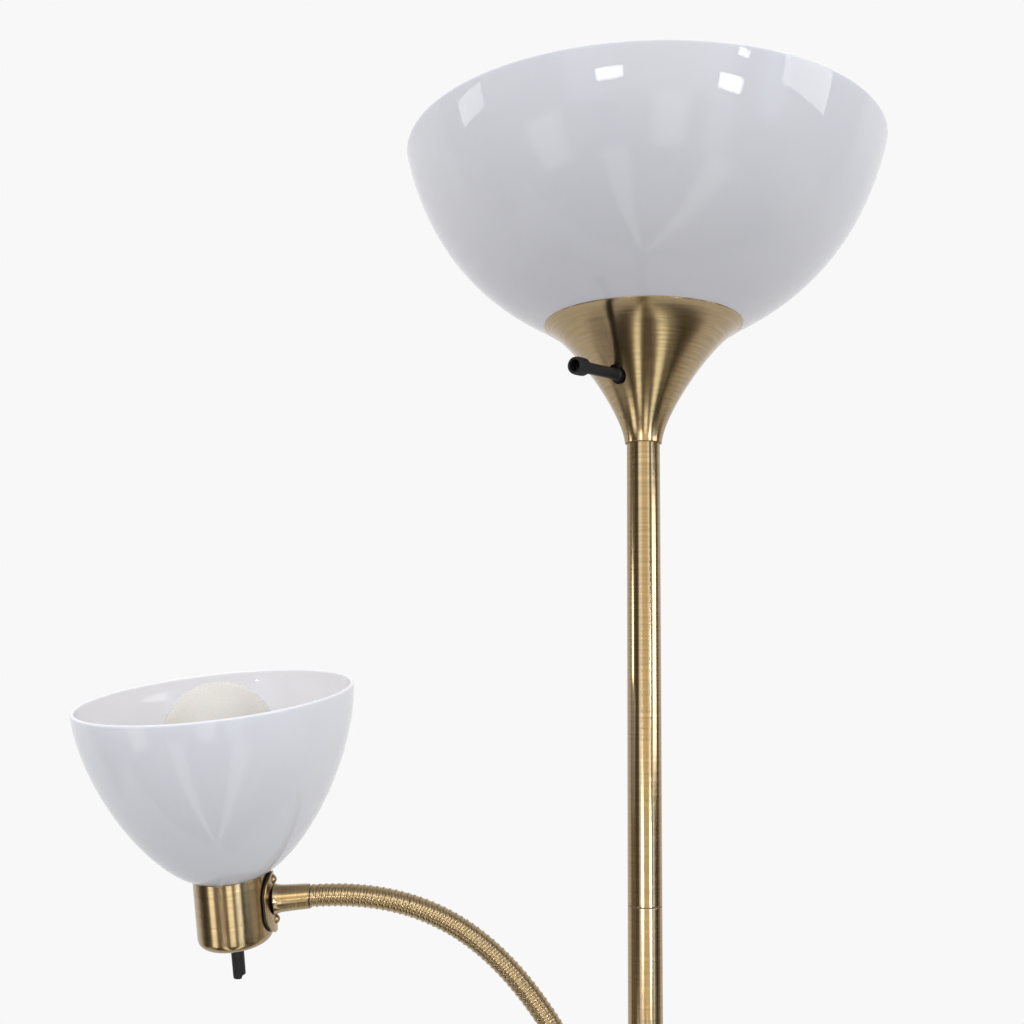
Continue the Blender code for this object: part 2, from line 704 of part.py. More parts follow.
def build_reading_head(head):
    pieces = build_horn(head) + build_reading_cup(head)
    well, well_r, neck = 33 * MM, 14.3 * MM, 52 * MM
    pieces.append(turned(
        "reading_socket",
        [
            (4.1 * MM, 5 * MM), (12.4 * MM, 5 * MM), (12.8 * MM, 7 * MM), (12.8 * MM, 31 * MM),
            (19.4 * MM, 31.6 * MM), (19.4 * MM, neck), (well_r, neck), (well_r, well),
            (2.2 * MM, well), (2.2 * MM, 14 * MM), (4.1 * MM, 14 * MM),
        ],
        "porcelain", 20, head,
    ))
    pieces.append(tube("reading_screw_shell", 14 * MM, 13.6 * MM, 35 * MM, 50 * MM, "bulb_cap", 20, head))
    pieces.append(tube("reading_contact", 5 * MM, 2.6 * MM, well + GAP, well + 0.9 * MM, "bulb_cap", 16, head))
    pieces.append(turned("reading_shade", reading_shade_outline(), "opal_plastic", 36, head))
    floor = READING_CUP_H + GAP + SHADE_WALL
    ring_low = floor + GAP
    pieces.append(turned(
        "reading_shade_ring",
        [
            (19.8 * MM, ring_low), (22.4 * MM, ring_low), (22.4 * MM, ring_low + 7 * MM),
            (19.8 * MM, ring_low + 7 * MM),
        ],
        "opal_plastic", 20, head,
    ))
    build_bulb("reading", 34.3 * MM, head)
    pieces += [bpy.data.objects["reading_bulb_glass"], bpy.data.objects["reading_bulb_cap"]]
    return pieces


def build_reading_switch(head, parent):
    """Rotary switch key under the cup; its end is stepped where the finger grips it."""
    pivot = joint_empty("reading_switch_axis", head @ Vector((0, 0, 0)), parent)
    key = tube("reading_switch_key", 3.75 * MM, 0, -21 * MM, 12 * MM, "black_plastic", 16, head)
    bm = bmesh.new()
    bmesh.ops.create_cube(bm, size=6 * MM)
    step = Matrix.Translation((4.4 * MM, 0, -22.1 * MM))
    cut(key, add_object("key_step", bm, None, head @ step))
    hang(key, pivot)


def main():
    along = Vector((-cos(BRANCH_RISE), 0, sin(BRANCH_RISE)))
    branch_tip = Vector((0, 0, JUNCTION_Z)) + along * BRANCH_END
    head = head_placement()
    last_pivot = head @ Vector((PIVOT_X, 0, HORN_Z))
    pivots = pivots_on(hose_curve(branch_tip, along, head), last_pivot)

    build_base()
    build_pole()
    build_arm_collar(branch_tip, along)
    build_cone()
    build_upper_socket()
    build_uplight()
    build_main_switch()
    last_link = build_gooseneck(pivots)
    head_joint = joint_empty("head_joint", last_pivot, last_link)
    for piece in build_reading_head(head):
        hang(piece, head_joint)
    build_reading_switch(head, head_joint)


main()
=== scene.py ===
"""Looks of the torchiere floor lamp with its gooseneck reading light.

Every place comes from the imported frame: node boxes, joint points and joint axes. Sizes are in
metres, written as a number of millimetres times MM. The lamp's front faces -Y.
"""
import json
from math import acos, asin, ceil, cos, exp, hypot, pi, radians, sin, tan

import bmesh
import bpy
from mathutils import Matrix, Vector

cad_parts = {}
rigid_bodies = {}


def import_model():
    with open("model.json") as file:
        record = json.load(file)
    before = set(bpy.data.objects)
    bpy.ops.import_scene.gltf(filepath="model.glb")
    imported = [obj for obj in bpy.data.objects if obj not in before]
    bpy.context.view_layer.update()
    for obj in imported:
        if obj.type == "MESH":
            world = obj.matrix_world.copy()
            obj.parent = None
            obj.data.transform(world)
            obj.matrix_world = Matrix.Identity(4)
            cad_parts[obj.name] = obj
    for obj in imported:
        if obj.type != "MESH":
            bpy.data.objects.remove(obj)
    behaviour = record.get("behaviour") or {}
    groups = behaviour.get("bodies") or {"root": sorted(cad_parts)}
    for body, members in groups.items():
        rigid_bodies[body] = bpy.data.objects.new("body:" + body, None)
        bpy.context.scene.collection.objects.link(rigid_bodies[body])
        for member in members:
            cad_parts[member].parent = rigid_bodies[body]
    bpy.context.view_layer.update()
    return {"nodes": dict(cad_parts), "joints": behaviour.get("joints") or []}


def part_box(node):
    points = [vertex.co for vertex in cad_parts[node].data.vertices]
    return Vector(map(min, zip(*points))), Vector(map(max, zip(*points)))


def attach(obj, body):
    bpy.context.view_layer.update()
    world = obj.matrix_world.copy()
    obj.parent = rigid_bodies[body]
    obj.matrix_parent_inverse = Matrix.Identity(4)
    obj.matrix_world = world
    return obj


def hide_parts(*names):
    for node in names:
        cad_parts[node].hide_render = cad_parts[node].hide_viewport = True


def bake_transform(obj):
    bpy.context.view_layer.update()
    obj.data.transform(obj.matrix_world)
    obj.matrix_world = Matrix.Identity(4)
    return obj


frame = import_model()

MM = 0.001
GRAIN_UV = "grain"
SHARP_DEG = 32
JOINTS = {joint["name"]: joint for joint in frame["joints"]}


def joint_point(name):
    return Vector(JOINTS[name]["pos_m"])


def joint_axis(name):
    return Vector(JOINTS[name]["axis"]).normalized()


# ---------------------------------------------------------------- places read from the frame

CONE_LOW, CONE_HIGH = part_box("cone_shell")
CONE_DROP = 3.2 * MM  # the lip hangs this far below the level that the uplight is measured from
CONE_Z = CONE_LOW.z + CONE_DROP
BOWL_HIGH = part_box("upper_shade")[1]
POLE_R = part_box("pole_section_3")[1].x
BASE_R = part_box("base_cover")[1].x
COLLAR_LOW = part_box("arm_collar")[0].z
BRANCH_Z = COLLAR_LOW + 26 * MM
UPRIGHT = Matrix.Translation((0, 0, CONE_Z))

# The horn's axis above the cup's underside, and its end out from the cup's axis
HORN_Z = 22.7 * MM
HORN_X = 44 * MM
HEAD_ORIGIN = joint_point("reading_switch_turn")
HEAD_UP = joint_axis("reading_switch_turn")
LAST_PIVOT = joint_point("arm_lift_high_follow")


def head_placement():
    """Reading head's own frame: origin under the cup, +Z up the shade, +X out along the horn."""
    reach = LAST_PIVOT - HEAD_ORIGIN
    x = (reach - HEAD_UP * reach.dot(HEAD_UP)).normalized()
    y = HEAD_UP.cross(x)
    rotation = Matrix((x, y, HEAD_UP)).transposed().to_4x4()
    return Matrix.Translation(HEAD_ORIGIN) @ rotation


def frame_along(origin, direction, up=Vector((0, 0, 1))):
    """Placement whose +Z runs along the direction."""
    z = direction.normalized()
    x = up.cross(z).normalized()
    rotation = Matrix((x, z.cross(x), z)).transposed().to_4x4()
    return Matrix.Translation(origin) @ rotation


HEAD = head_placement()
HORN = HEAD @ Matrix.Translation((0, 0, HORN_Z)) @ Matrix.Rotation(pi / 2, 4, "Y")
SWITCH = frame_along(joint_point("main_switch_turn"), joint_axis("main_switch_turn"))


# ---------------------------------------------------------------- node helpers

class Tree:
    """Short way to add shader nodes and link them by socket name."""

    def __init__(self, owner):
        owner.use_nodes = True
        self.nodes = owner.node_tree.nodes
        self.links = owner.node_tree.links

    def add(self, kind, inputs=None, **settings):
        node = self.nodes.new("ShaderNode" + kind)
        for key, value in settings.items():
            setattr(node, key, value)
        for key, value in (inputs or {}).items():
            self.put(node.inputs[key], value)
        return node

    def put(self, socket, value):
        if isinstance(value, bpy.types.NodeSocket):
            self.links.new(value, socket)
        else:
            socket.default_value = value

    def math(self, operation, a, b=0.0, c=0.0):
        node = self.add("Math", {0: a, 1: b, 2: c}, operation=operation)
        return node.outputs[0]

    def span(self, value, low, high, to_low=0.0, to_high=1.0, smooth=False):
        kind = "SMOOTHSTEP" if smooth else "LINEAR"
        inputs = {"Value": value, "From Min": low, "From Max": high,
                  "To Min": to_low, "To Max": to_high}
        return self.add("MapRange", inputs, interpolation_type=kind).outputs["Result"]

    def mix(self, share, a, b):
        node = self.add("Mix", data_type="RGBA")
        self.put(node.inputs["Factor"], share)
        for name, value in (("A", a), ("B", b)):
            socket = next(s for s in node.inputs if s.name == name and s.type == "RGBA")
            self.put(socket, value)
        return next(s for s in node.outputs if s.type == "RGBA")

    def ramp(self, value, stops):
        """Straight colour ramp through (place from 0 to 1, colour)."""
        node = self.add("ValToRGB", {"Fac": value})
        ramp = node.color_ramp
        while len(ramp.elements) > 1:
            ramp.elements.remove(ramp.elements[-1])
        for k, (place, colour) in enumerate(stops):
            element = ramp.elements[0] if k == 0 else ramp.elements.new(place)
            element.position = place
            element.color = (*colour, 1)
        return node.outputs["Color"]

    def noise(self, vector, scale, detail=2.0, roughness=0.5):
        inputs = {"Vector": vector, "Scale": scale, "Detail": detail, "Roughness": roughness}
        return self.add("TexNoise", inputs).outputs["Fac"]

    def stretched(self, vector, factors):
        return self.add("VectorMath", {0: vector, 1: factors}, operation="MULTIPLY").outputs[0]

    def scaled(self, vector, factor):
        return self.add("VectorMath", {0: vector, "Scale": factor}, operation="SCALE").outputs[0]


def new_material(name):
    material = bpy.data.materials.new(name)
    tree = Tree(material)
    return material, tree, tree.nodes["Principled BSDF"]


def bump(tree, shader, height, distance, strength=1.0):
    node = tree.add("Bump", {"Height": height, "Distance": distance, "Strength": strength})
    tree.put(shader.inputs["Normal"], node.outputs["Normal"])


# ---------------------------------------------------------------- materials

BRASS = (0.365, 0.272, 0.156)
BRASS_TARNISH = (0.30, 0.215, 0.115, 1)
GRAIN_WIDTH = 0.14 * MM
GRAIN_LENGTH = 14 * MM
GRAIN_DEPTH = 0.004 * MM


def brushed_brass(name, roughness, anisotropy, tarnish, grain_strength):
    """Lacquered antique brass, brushed round the piece: the grain runs along the map's U."""
    material, tree, shader = new_material(name)
    grain = tree.add("UVMap", uv_map=GRAIN_UV).outputs["UV"]
    place = tree.add("TexCoord").outputs["Object"]
    fine = tree.noise(tree.stretched(grain, (1 / GRAIN_LENGTH, 1 / GRAIN_WIDTH, 1)), 1, 3, 0.7)
    wide = tree.noise(tree.stretched(grain, (30, 700, 1)), 1, 2)
    cloud = tree.noise(place, 38, 3, 0.6)

    dull = tuple(c * 0.84 for c in BRASS)
    bright = tuple(min(c * 1.1, 1) for c in BRASS)
    colour = tree.mix(tree.span(wide, 0.3, 0.7), (*dull, 1), (*bright, 1))
    aged = tree.mix(tree.span(cloud, 0.42, 0.75, 0, tarnish), colour, BRASS_TARNISH)
    tree.put(shader.inputs["Base Color"], aged)
    shader.inputs["Metallic"].default_value = 1
    spread = tree.span(fine, 0.25, 0.75, roughness * 0.8, roughness * 1.25)
    tree.put(shader.inputs["Roughness"], spread)
    shader.inputs["Anisotropic"].default_value = anisotropy
    shader.inputs["Anisotropic Rotation"].default_value = 0.25
    tangent = tree.add("Tangent", direction_type="UV_MAP", uv_map=GRAIN_UV)
    tree.put(shader.inputs["Tangent"], tangent.outputs["Tangent"])
    bump(tree, shader, fine, GRAIN_DEPTH, grain_strength)
    return material


def opal_plastic():
    """Glossy milk-white moulded acrylic: a little light goes through, faces towards the axis carry painted
    light, and its gloss is wavy.
    """
    material, tree, shader = new_material("opal_acrylic")
    place = tree.add("TexCoord").outputs["Object"]
    wave = tree.noise(place, 22, 1)
    speck = tree.noise(place, 900, 2)
    cloud = tree.noise(place, 9, 2)
    colour = tree.mix(tree.span(cloud, 0.35, 0.65), (0.71, 0.72, 0.75, 1), (0.735, 0.74, 0.765, 1))
    # Painted light: faces that look towards the shade's axis get a paler colour, standing in for the light
    # that comes through the wall and lights the inside
    sideways = tree.stretched(place, (1, 1, 0))
    facing = tree.add("TexCoord").outputs["Normal"]
    outward = tree.add("VectorMath", {0: sideways, 1: facing}, operation="DOT_PRODUCT").outputs["Value"]
    inside = tree.math("LESS_THAN", outward, 0.0)
    colour = tree.mix(inside, colour, (0.79, 0.78, 0.785, 1))
    tree.put(shader.inputs["Base Color"], colour)
    tree.put(shader.inputs["Roughness"], tree.span(speck, 0.3, 0.8, 0.02, 0.045))
    shader.inputs["Specular IOR Level"].default_value = 0.2
    shader.inputs["IOR"].default_value = 1.49
    shader.inputs["Subsurface Weight"].default_value = 0.35
    shader.inputs["Subsurface Radius"].default_value = (1.0, 0.85, 0.8)
    shader.inputs["Subsurface Scale"].default_value = 4 * MM
    bump(tree, shader, wave, 0.12 * MM, 0.3)
    return material


def moulded(name, colour, roughness, grain_scale, grain_depth, lift=1.5, gloss=0.5):
    """Moulded plastic, rubber or porcelain: fine texture and slow change of tone."""
    material, tree, shader = new_material(name)
    place = tree.add("TexCoord").outputs["Object"]
    grit = tree.noise(place, grain_scale, 3, 0.6)
    cloud = tree.noise(place, 60, 2)
    lighter = tuple(min(c * lift, 1) for c in colour)
    tone = tree.mix(tree.span(cloud, 0.3, 0.75), (*colour, 1), (*lighter, 1))
    tree.put(shader.inputs["Base Color"], tone)
    tree.put(shader.inputs["Roughness"], tree.span(grit, 0.25, 0.75, roughness * 0.85, roughness * 1.15))
    shader.inputs["Specular IOR Level"].default_value = gloss
    bump(tree, shader, grit, grain_depth, 0.5)
    return material


def plain_metal(name, colour, roughness, wear_colour, wear):
    """Plated or cast metal with cloudy wear."""
    material, tree, shader = new_material(name)
    place = tree.add("TexCoord").outputs["Object"]
    cloud = tree.noise(place, 220, 4, 0.65)
    pits = tree.noise(place, 1500, 2)
    tone = tree.mix(tree.span(cloud, 0.5, 0.72, 0, wear), (*colour, 1), (*wear_colour, 1))
    tree.put(shader.inputs["Base Color"], tone)
    shader.inputs["Metallic"].default_value = 1
    tree.put(shader.inputs["Roughness"], tree.span(cloud, 0.3, 0.8, roughness * 0.8, roughness * 1.3))
    bump(tree, shader, pits, 0.03 * MM, 0.4)
    return material


def frosted_bulb():
    """Inner-frosted lamp bulb: warm white, with a satin gloss."""
    material, tree, shader = new_material("frosted_glass")
    place = tree.add("TexCoord").outputs["Object"]
    frost = tree.noise(place, 1200, 2)
    cloud = tree.noise(place, 30, 2)
    tone = tree.mix(tree.span(cloud, 0.3, 0.7), (0.62, 0.575, 0.525, 1), (0.655, 0.615, 0.57, 1))
    tree.put(shader.inputs["Base Color"], tone)
    tree.put(shader.inputs["Roughness"], tree.span(frost, 0.3, 0.7, 0.2, 0.3))
    shader.inputs["Subsurface Weight"].default_value = 0.2
    shader.inputs["Subsurface Scale"].default_value = 3 * MM
    return material


LOOKS = {
    "cone_brass": brushed_brass("cone_brass", 0.2, 0.8, 0.25, 0.2),
    "pole_brass": brushed_brass("pole_brass", 0.12, 0.3, 0.15, 0.15),
    "hose_brass": brushed_brass("hose_brass", 0.2, 0.0, 0.2, 0.0),
    "opal": opal_plastic(),
    "black_plastic": moulded("black_abs", (0.010, 0.010, 0.012), 0.5, 1400, 0.04 * MM, gloss=0.22),
    "black_rubber": moulded("black_rubber_foam", (0.02, 0.02, 0.02), 0.8, 700, 0.15 * MM),
    "porcelain": moulded("glazed_porcelain", (0.80, 0.78, 0.72), 0.22, 300, 0.03 * MM, 1.05),
    "lead": moulded("lead_sheath_vinyl", (0.62, 0.52, 0.24), 0.5, 500, 0.05 * MM, 1.1),
    "zinc": plain_metal("zinc_plate", (0.62, 0.62, 0.60), 0.34, (0.42, 0.41, 0.38), 0.6),
    "iron": plain_metal("cast_iron", (0.10, 0.10, 0.10), 0.7, (0.16, 0.11, 0.08), 0.5),
    "bulb": frosted_bulb(),
    "cap": plain_metal("bulb_cap_metal", (0.76, 0.75, 0.71), 0.28, (0.55, 0.52, 0.45), 0.4),
}
SLOT_LOOK = {
    "antique_brass": "cone_brass",
    "opal_plastic": "opal",
    "black_plastic": "black_plastic",
    "black_rubber": "black_rubber",
    "zinc_steel": "zinc",
    "iron_weight": "iron",
    "bulb_glass": "bulb",
    "bulb_cap": "cap",
    "porcelain": "porcelain",
    "lead_sheath": "lead",
}


# ---------------------------------------------------------------- mesh helpers

def round_corners(outline, steps=5):
    """Closed loop of (radius, height[, fillet]) with each fillet drawn as an arc.

    A point close to each arc's end keeps the flat beside it flat when it is shaded smooth.
    """
    points = []
    count = len(outline)
    for k, corner in enumerate(outline):
        here = Vector(corner[:2])
        fillet = corner[2] if len(corner) > 2 else 0
        to_before = Vector(outline[k - 1][:2]) - here
        to_after = Vector(outline[(k + 1) % count][:2]) - here
        if not fillet or not to_before.length or not to_after.length:
            points.append(tuple(here))
            continue
        room = min(to_before.length, to_after.length)
        a, b = to_before.normalized(), to_after.normalized()
        half = acos(max(-1, min(1, a.dot(b)))) / 2
        if half > radians(88):
            points.append(tuple(here))
            continue
        setback = min(fillet / tan(half), room * 0.45)
        radius = setback * tan(half)
        centre = here + (a + b).normalized() * (radius / sin(half))
        start, end = here + a * setback - centre, here + b * setback - centre
        support = min(setback * 1.35, room * 0.49)
        points.append(tuple(here + a * support))
        for n in range(steps + 1):
            points.append(tuple(centre + start.slerp(end, n / steps, start).normalized() * radius))
        points.append(tuple(here + b * support))
    return points


def cubic(start, handle_a, handle_b, end, count):
    """Points of one cubic curve, both ends included."""
    points = []
    for k in range(count):
        t = k / (count - 1)
        weights = ((1 - t) ** 3, 3 * (1 - t) ** 2 * t, 3 * (1 - t) * t * t, t ** 3)
        corners = (start, handle_a, handle_b, end)
        points.append(tuple(sum(w * p[i] for w, p in zip(weights, corners)) for i in (0, 1)))
    return points


def offset_profile(points, distance):
    """The same (radius, height) run moved sideways; positive goes towards the turning axis."""
    moved = []
    for k, (radius, height) in enumerate(points):
        before = points[max(k - 1, 0)]
        after = points[min(k + 1, len(points) - 1)]
        run = hypot(after[0] - before[0], after[1] - before[1])
        side = ((after[1] - before[1]) / run, -(after[0] - before[0]) / run)
        moved.append((radius - distance * side[0], height - distance * side[1]))
    return moved


def grid_mesh(name, rings, uv_scale):
    """Skin over a closed loop of rings; a ring of one point is a pole.

    uv_scale gives (length round the piece, lengths along it), so the grain keeps its real scale.
    """
    round_length, along = uv_scale
    bm = bmesh.new()
    layer = bm.loops.layers.uv.new(GRAIN_UV)
    made = [[bm.verts.new(p) for p in ring] for ring in rings]
    count = max(len(ring) for ring in rings)
    for k in range(len(made)):
        low, high = made[k], made[(k + 1) % len(made)]
        if len(low) == 1 and len(high) == 1:
            continue
        v_low = along[k]
        v_high = along[k + 1] if k + 1 < len(along) else v_low + (low[0].co - high[0].co).length
        for i in range(count):
            j = (i + 1) % count
            u_here, u_next = round_length * i / count, round_length * (i + 1) / count
            if len(low) == 1:
                corners = ((low[0], u_here, v_low), (high[j], u_next, v_high), (high[i], u_here, v_high))
            elif len(high) == 1:
                corners = ((low[i], u_here, v_low), (low[j], u_next, v_low), (high[0], u_here, v_high))
            else:
                corners = ((low[i], u_here, v_low), (low[j], u_next, v_low),
                           (high[j], u_next, v_high), (high[i], u_here, v_high))
            face = bm.faces.new([c[0] for c in corners])
            for loop, corner in zip(face.loops, corners):
                loop[layer].uv = corner[1:]
    bmesh.ops.recalc_face_normals(bm, faces=bm.faces[:])
    mesh = bpy.data.meshes.new(name)
    bm.to_mesh(mesh)
    bm.free()
    return mesh


def shade(mesh, sharp):
    mesh.shade_smooth()
    mesh.set_sharp_from_angle(angle=radians(sharp))


def add_object(name, mesh, look, placed=None, sharp=SHARP_DEG):
    shade(mesh, sharp)
    obj = bpy.data.objects.new(name, mesh)
    bpy.context.scene.collection.objects.link(obj)
    if placed is not None:
        obj.matrix_world = placed
    if look:
        mesh.materials.append(LOOKS[look])
    return obj


def block(name, size, soften=0.0):
    """Mesh of a box about the origin, with its edges softened by this much."""
    bm = bmesh.new()
    bmesh.ops.create_cube(bm, size=1)
    bmesh.ops.scale(bm, verts=bm.verts[:], vec=size)
    if soften:
        bmesh.ops.bevel(bm, geom=bm.edges[:], offset=soften, segments=3, affect="EDGES")
    mesh = bpy.data.meshes.new(name)
    bm.to_mesh(mesh)
    bm.free()
    return mesh


def turned(name, outline, look, placed=None, segments=128, shape=None):
    """Turned solid from a closed loop of (radius, height[, fillet]); shape may ripple it."""
    points = round_corners(outline)
    along = [0.0]
    for before, after in zip(points, points[1:]):
        along.append(along[-1] + hypot(after[0] - before[0], after[1] - before[1]))
    widest = max(p[0] for p in points)
    rings = []
    for radius, height in points:
        if radius < 1e-7:
            rings.append([(0, 0, height)])
            continue
        ring = []
        for k in range(segments):
            turn = 2 * pi * k / segments
            grown = shape(radius, height, turn) if shape else radius
            ring.append((grown * cos(turn), grown * sin(turn), height))
        rings.append(ring)
    mesh = grid_mesh(name, rings, (2 * pi * widest, along))
    return add_object(name, mesh, look, placed)


def pipe(outer, bore, low, high, fillet):
    """Outline of a tube with rounded ends, or of a rod where the bore is 0."""
    if not bore:
        return [(0, low), (outer, low, fillet), (outer, high, fillet), (0, high)]
    inner = min(fillet, (outer - bore) * 0.4)
    return [(bore, low, inner), (outer, low, fillet), (outer, high, fillet), (bore, high, inner)]


def carve(target, cutter, operation="DIFFERENCE"):
    """Boolean, applied at once; the cutter is removed."""
    modifier = target.modifiers.new("carve", "BOOLEAN")
    modifier.operation = operation
    modifier.solver = "EXACT"
    modifier.object = cutter
    bpy.context.view_layer.update()
    evaluated = target.evaluated_get(bpy.context.evaluated_depsgraph_get())
    mesh = bpy.data.meshes.new_from_object(evaluated)
    target.modifiers.clear()
    target.data = mesh
    shade(mesh, SHARP_DEG)
    bpy.data.objects.remove(cutter)
    return target


def stand_in(piece, body, node):
    """The piece rides on the body, and stands for this CAD node."""
    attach(piece, body)
    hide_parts(node)


# ---------------------------------------------------------------- base and pole

def build_base():
    pad_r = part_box("floor_pad")[1].x
    pad_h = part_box("floor_pad")[1].z
    pad = turned("floor_pad_foam", pipe(pad_r, 0, 0, pad_h, 0.5 * MM), "black_rubber", segments=160)
    stand_in(pad, "stand", "floor_pad")

    sheet, top = 0.8 * MM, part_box("base_cover")[1].z
    hole = 5.2 * MM
    shoulder = cubic((BASE_R, 13 * MM), (BASE_R, 20 * MM), (116 * MM, 21 * MM), (96 * MM, 23 * MM), 22)
    inner = offset_profile(shoulder, sheet)
    outline = [(BASE_R, 1.2 * MM, 0.35 * MM), *shoulder, (20 * MM, top, 4 * MM), (hole, top)]
    outline += [(hole, top - sheet), (20 * MM, top - sheet), *inner[::-1]]
    outline += [(BASE_R - sheet, 1.2 * MM, 0.35 * MM)]
    cover = turned("base_cover_spun", outline, "cone_brass", segments=192)
    inlet = Matrix.Translation((0, 0, 8 * MM)) @ Matrix.Rotation(-pi / 2, 4, "X")
    drill = turned("inlet_drill", pipe(4.9 * MM, 0, 110 * MM, 140 * MM, 0), None, inlet, 48)
    stand_in(carve(cover, drill), "stand", "base_cover")

    bush_low, bush_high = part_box("cord_bush")[0].y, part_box("cord_bush")[1].y
    lip = BASE_R + 0.6 * MM
    bush = turned(
        "cord_bush_moulded",
        [
            (4.5 * MM, bush_low, 0.3 * MM), (4.5 * MM, lip), (6 * MM, lip, 0.3 * MM),
            (5.4 * MM, bush_high, 0.6 * MM), (3.4 * MM, bush_high, 0.6 * MM), (3.4 * MM, bush_low),
        ],
        "black_plastic", inlet, 64,
    )
    stand_in(bush, "stand", "cord_bush")

    low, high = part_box("pole_foot_ring")[0].z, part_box("pole_foot_ring")[1].z
    bore = POLE_R + 0.3 * MM
    sweep = cubic((21 * MM, low + 3.7 * MM), (14 * MM, low + 4.7 * MM), (13.4 * MM, high - 8 * MM),
                  (12.8 * MM, high - 0.6 * MM), 16)
    ring = turned(
        "pole_foot_ring_turned",
        [(bore, low), (21 * MM, low, 0.4 * MM), *sweep, (12.4 * MM, high, 0.3 * MM), (bore, high, 0.3 * MM)],
        "cone_brass",
    )
    stand_in(ring, "stand", "pole_foot_ring")


def build_pole():
    wall = 0.8 * MM
    for k in range(1, 6):
        node = f"pole_section_{k}"
        low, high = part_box(node)[0].z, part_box(node)[1].z
        section = turned(f"pole_tube_{k}", pipe(POLE_R, POLE_R - wall, low, high, 0.35 * MM), "pole_brass")
        stand_in(section, "stand", node)


def build_arm_collar(first_pivot, along):
    """Turned barrel on the pole with a slanted branch, joined in one casting."""
    barrel_r, cup_depth, bore, foot_r = 13 * MM, 14 * MM, 6.5 * MM, 14.2 * MM
    cup_r = POLE_R + 0.3 * MM
    low, high = COLLAR_LOW, COLLAR_LOW + 66 * MM
    collar = turned(
        "arm_collar_cast",
        [
            (foot_r, low, 0.5 * MM), (foot_r, low + 3 * MM, 0.6 * MM),
            (barrel_r, low + 3 * MM, 0.3 * MM), (barrel_r, high, 0.8 * MM), (cup_r, high, 0.3 * MM),
            (cup_r, high - cup_depth), (bore, high - cup_depth), (bore, low + cup_depth),
            (cup_r, low + cup_depth), (cup_r, low, 0.3 * MM),
        ],
        "cone_brass",
    )
    # The branch's root swells into the barrel like a cast fillet
    branch_r, face = 8.2 * MM, 38 * MM
    root = cubic((12.8 * MM, 8 * MM), (10.4 * MM, 14.5 * MM), (8.5 * MM, 18 * MM), (branch_r, 24 * MM), 12)
    placed = frame_along(Vector((0, 0, BRANCH_Z)), along, Vector((0, 1, 0)))
    placed = placed @ Matrix.Rotation(radians(1.7), 4, "Z")  # no edge of one meets an edge of the other
    branch = turned(
        "branch_root",
        [
            (3 * MM, 6 * MM), (11 * MM, 6 * MM), *root, (branch_r, face, 0.9 * MM),
            (6.65 * MM, face, 0.3 * MM), (6.65 * MM, face - 6 * MM), (3 * MM, face - 6 * MM),
        ],
        None, placed, 96,
    )
    core = turned("branch_core", pipe(11.2 * MM, 0, low - 9 * MM, high + 9 * MM, 0), None, None, 96)
    carve(branch, core)
    carve(collar, branch, "UNION")
    collar.data.materials.clear()
    collar.data.materials.append(LOOKS["cone_brass"])
    stand_in(collar, "stand", "arm_collar")


# ---------------------------------------------------------------- uplight

def build_cone():
    height = CONE_HIGH.z - CONE_Z
    mouth = CONE_HIGH.x
    sheet = 0.8 * MM
    lip = (11.15 * MM, -CONE_DROP)
    curve = cubic(lip, (12.5 * MM, 16.6 * MM), (45.4 * MM, 63.1 * MM), (mouth, height), 64)
    inner = offset_profile(curve, sheet)
    outline = [(*curve[0], 0.25 * MM), *curve[1:-1], (*curve[-1], 0.3 * MM)]
    outline += [(*inner[-1], 0.3 * MM), *inner[-2:0:-1], (*inner[0], 0.25 * MM)]
    cone = turned("cone_shell_spun", outline, "cone_brass", UPRIGHT, 192)
    drill = turned("switch_drill", pipe(5.6 * MM, 0, -12 * MM, 14 * MM, 0), None, SWITCH, 64)
    stand_in(carve(cone, drill), "stand", "cone_shell")


def build_bowl():
    """Uplight bowl: a flat seat round the socket, then one swelling curve up to a rounded rim."""
    wall = 2.2 * MM
    rim_r, rim_z = BOWL_HIGH.x, BOWL_HIGH.z - CONE_Z
    seat = [(20.2 * MM, 62 * MM), (38 * MM, 62.2 * MM), (51 * MM, 66.2 * MM)]
    swell = cubic((59.6 * MM, 69.8 * MM), (88 * MM, 84 * MM), (130 * MM, 110 * MM), (rim_r, rim_z), 72)
    outside = seat + swell
    inside = offset_profile(outside, wall)
    outline = [(*outside[0], 0.4 * MM), (*outside[1], 6 * MM), (*outside[2], 8 * MM), *outside[3:-1]]
    outline += [(rim_r, rim_z, 0.9 * MM), (rim_r - wall, rim_z, 0.9 * MM), *inside[-2:2:-1]]
    outline += [(*inside[2], 8 * MM), (*inside[1], 6 * MM), (20.2 * MM, 62 * MM + wall, 0.4 * MM)]
    bowl = turned("upper_shade_moulded", outline, "opal", UPRIGHT, 256)
    stand_in(bowl, "stand", "upper_shade")


def ribbed(ribs, depth, low, high, from_r):
    """Ripple for a gripped ring: round ribs between two heights, on radii past from_r."""
    def shape(radius, height, turn):
        if not low < height < high or radius < from_r:
            return radius
        return radius + depth * (0.5 + 0.5 * cos(ribs * turn)) ** 1.5
    return shape


def stations(low, high, count):
    return [low + (high - low) * k / (count - 1) for k in range(count)]


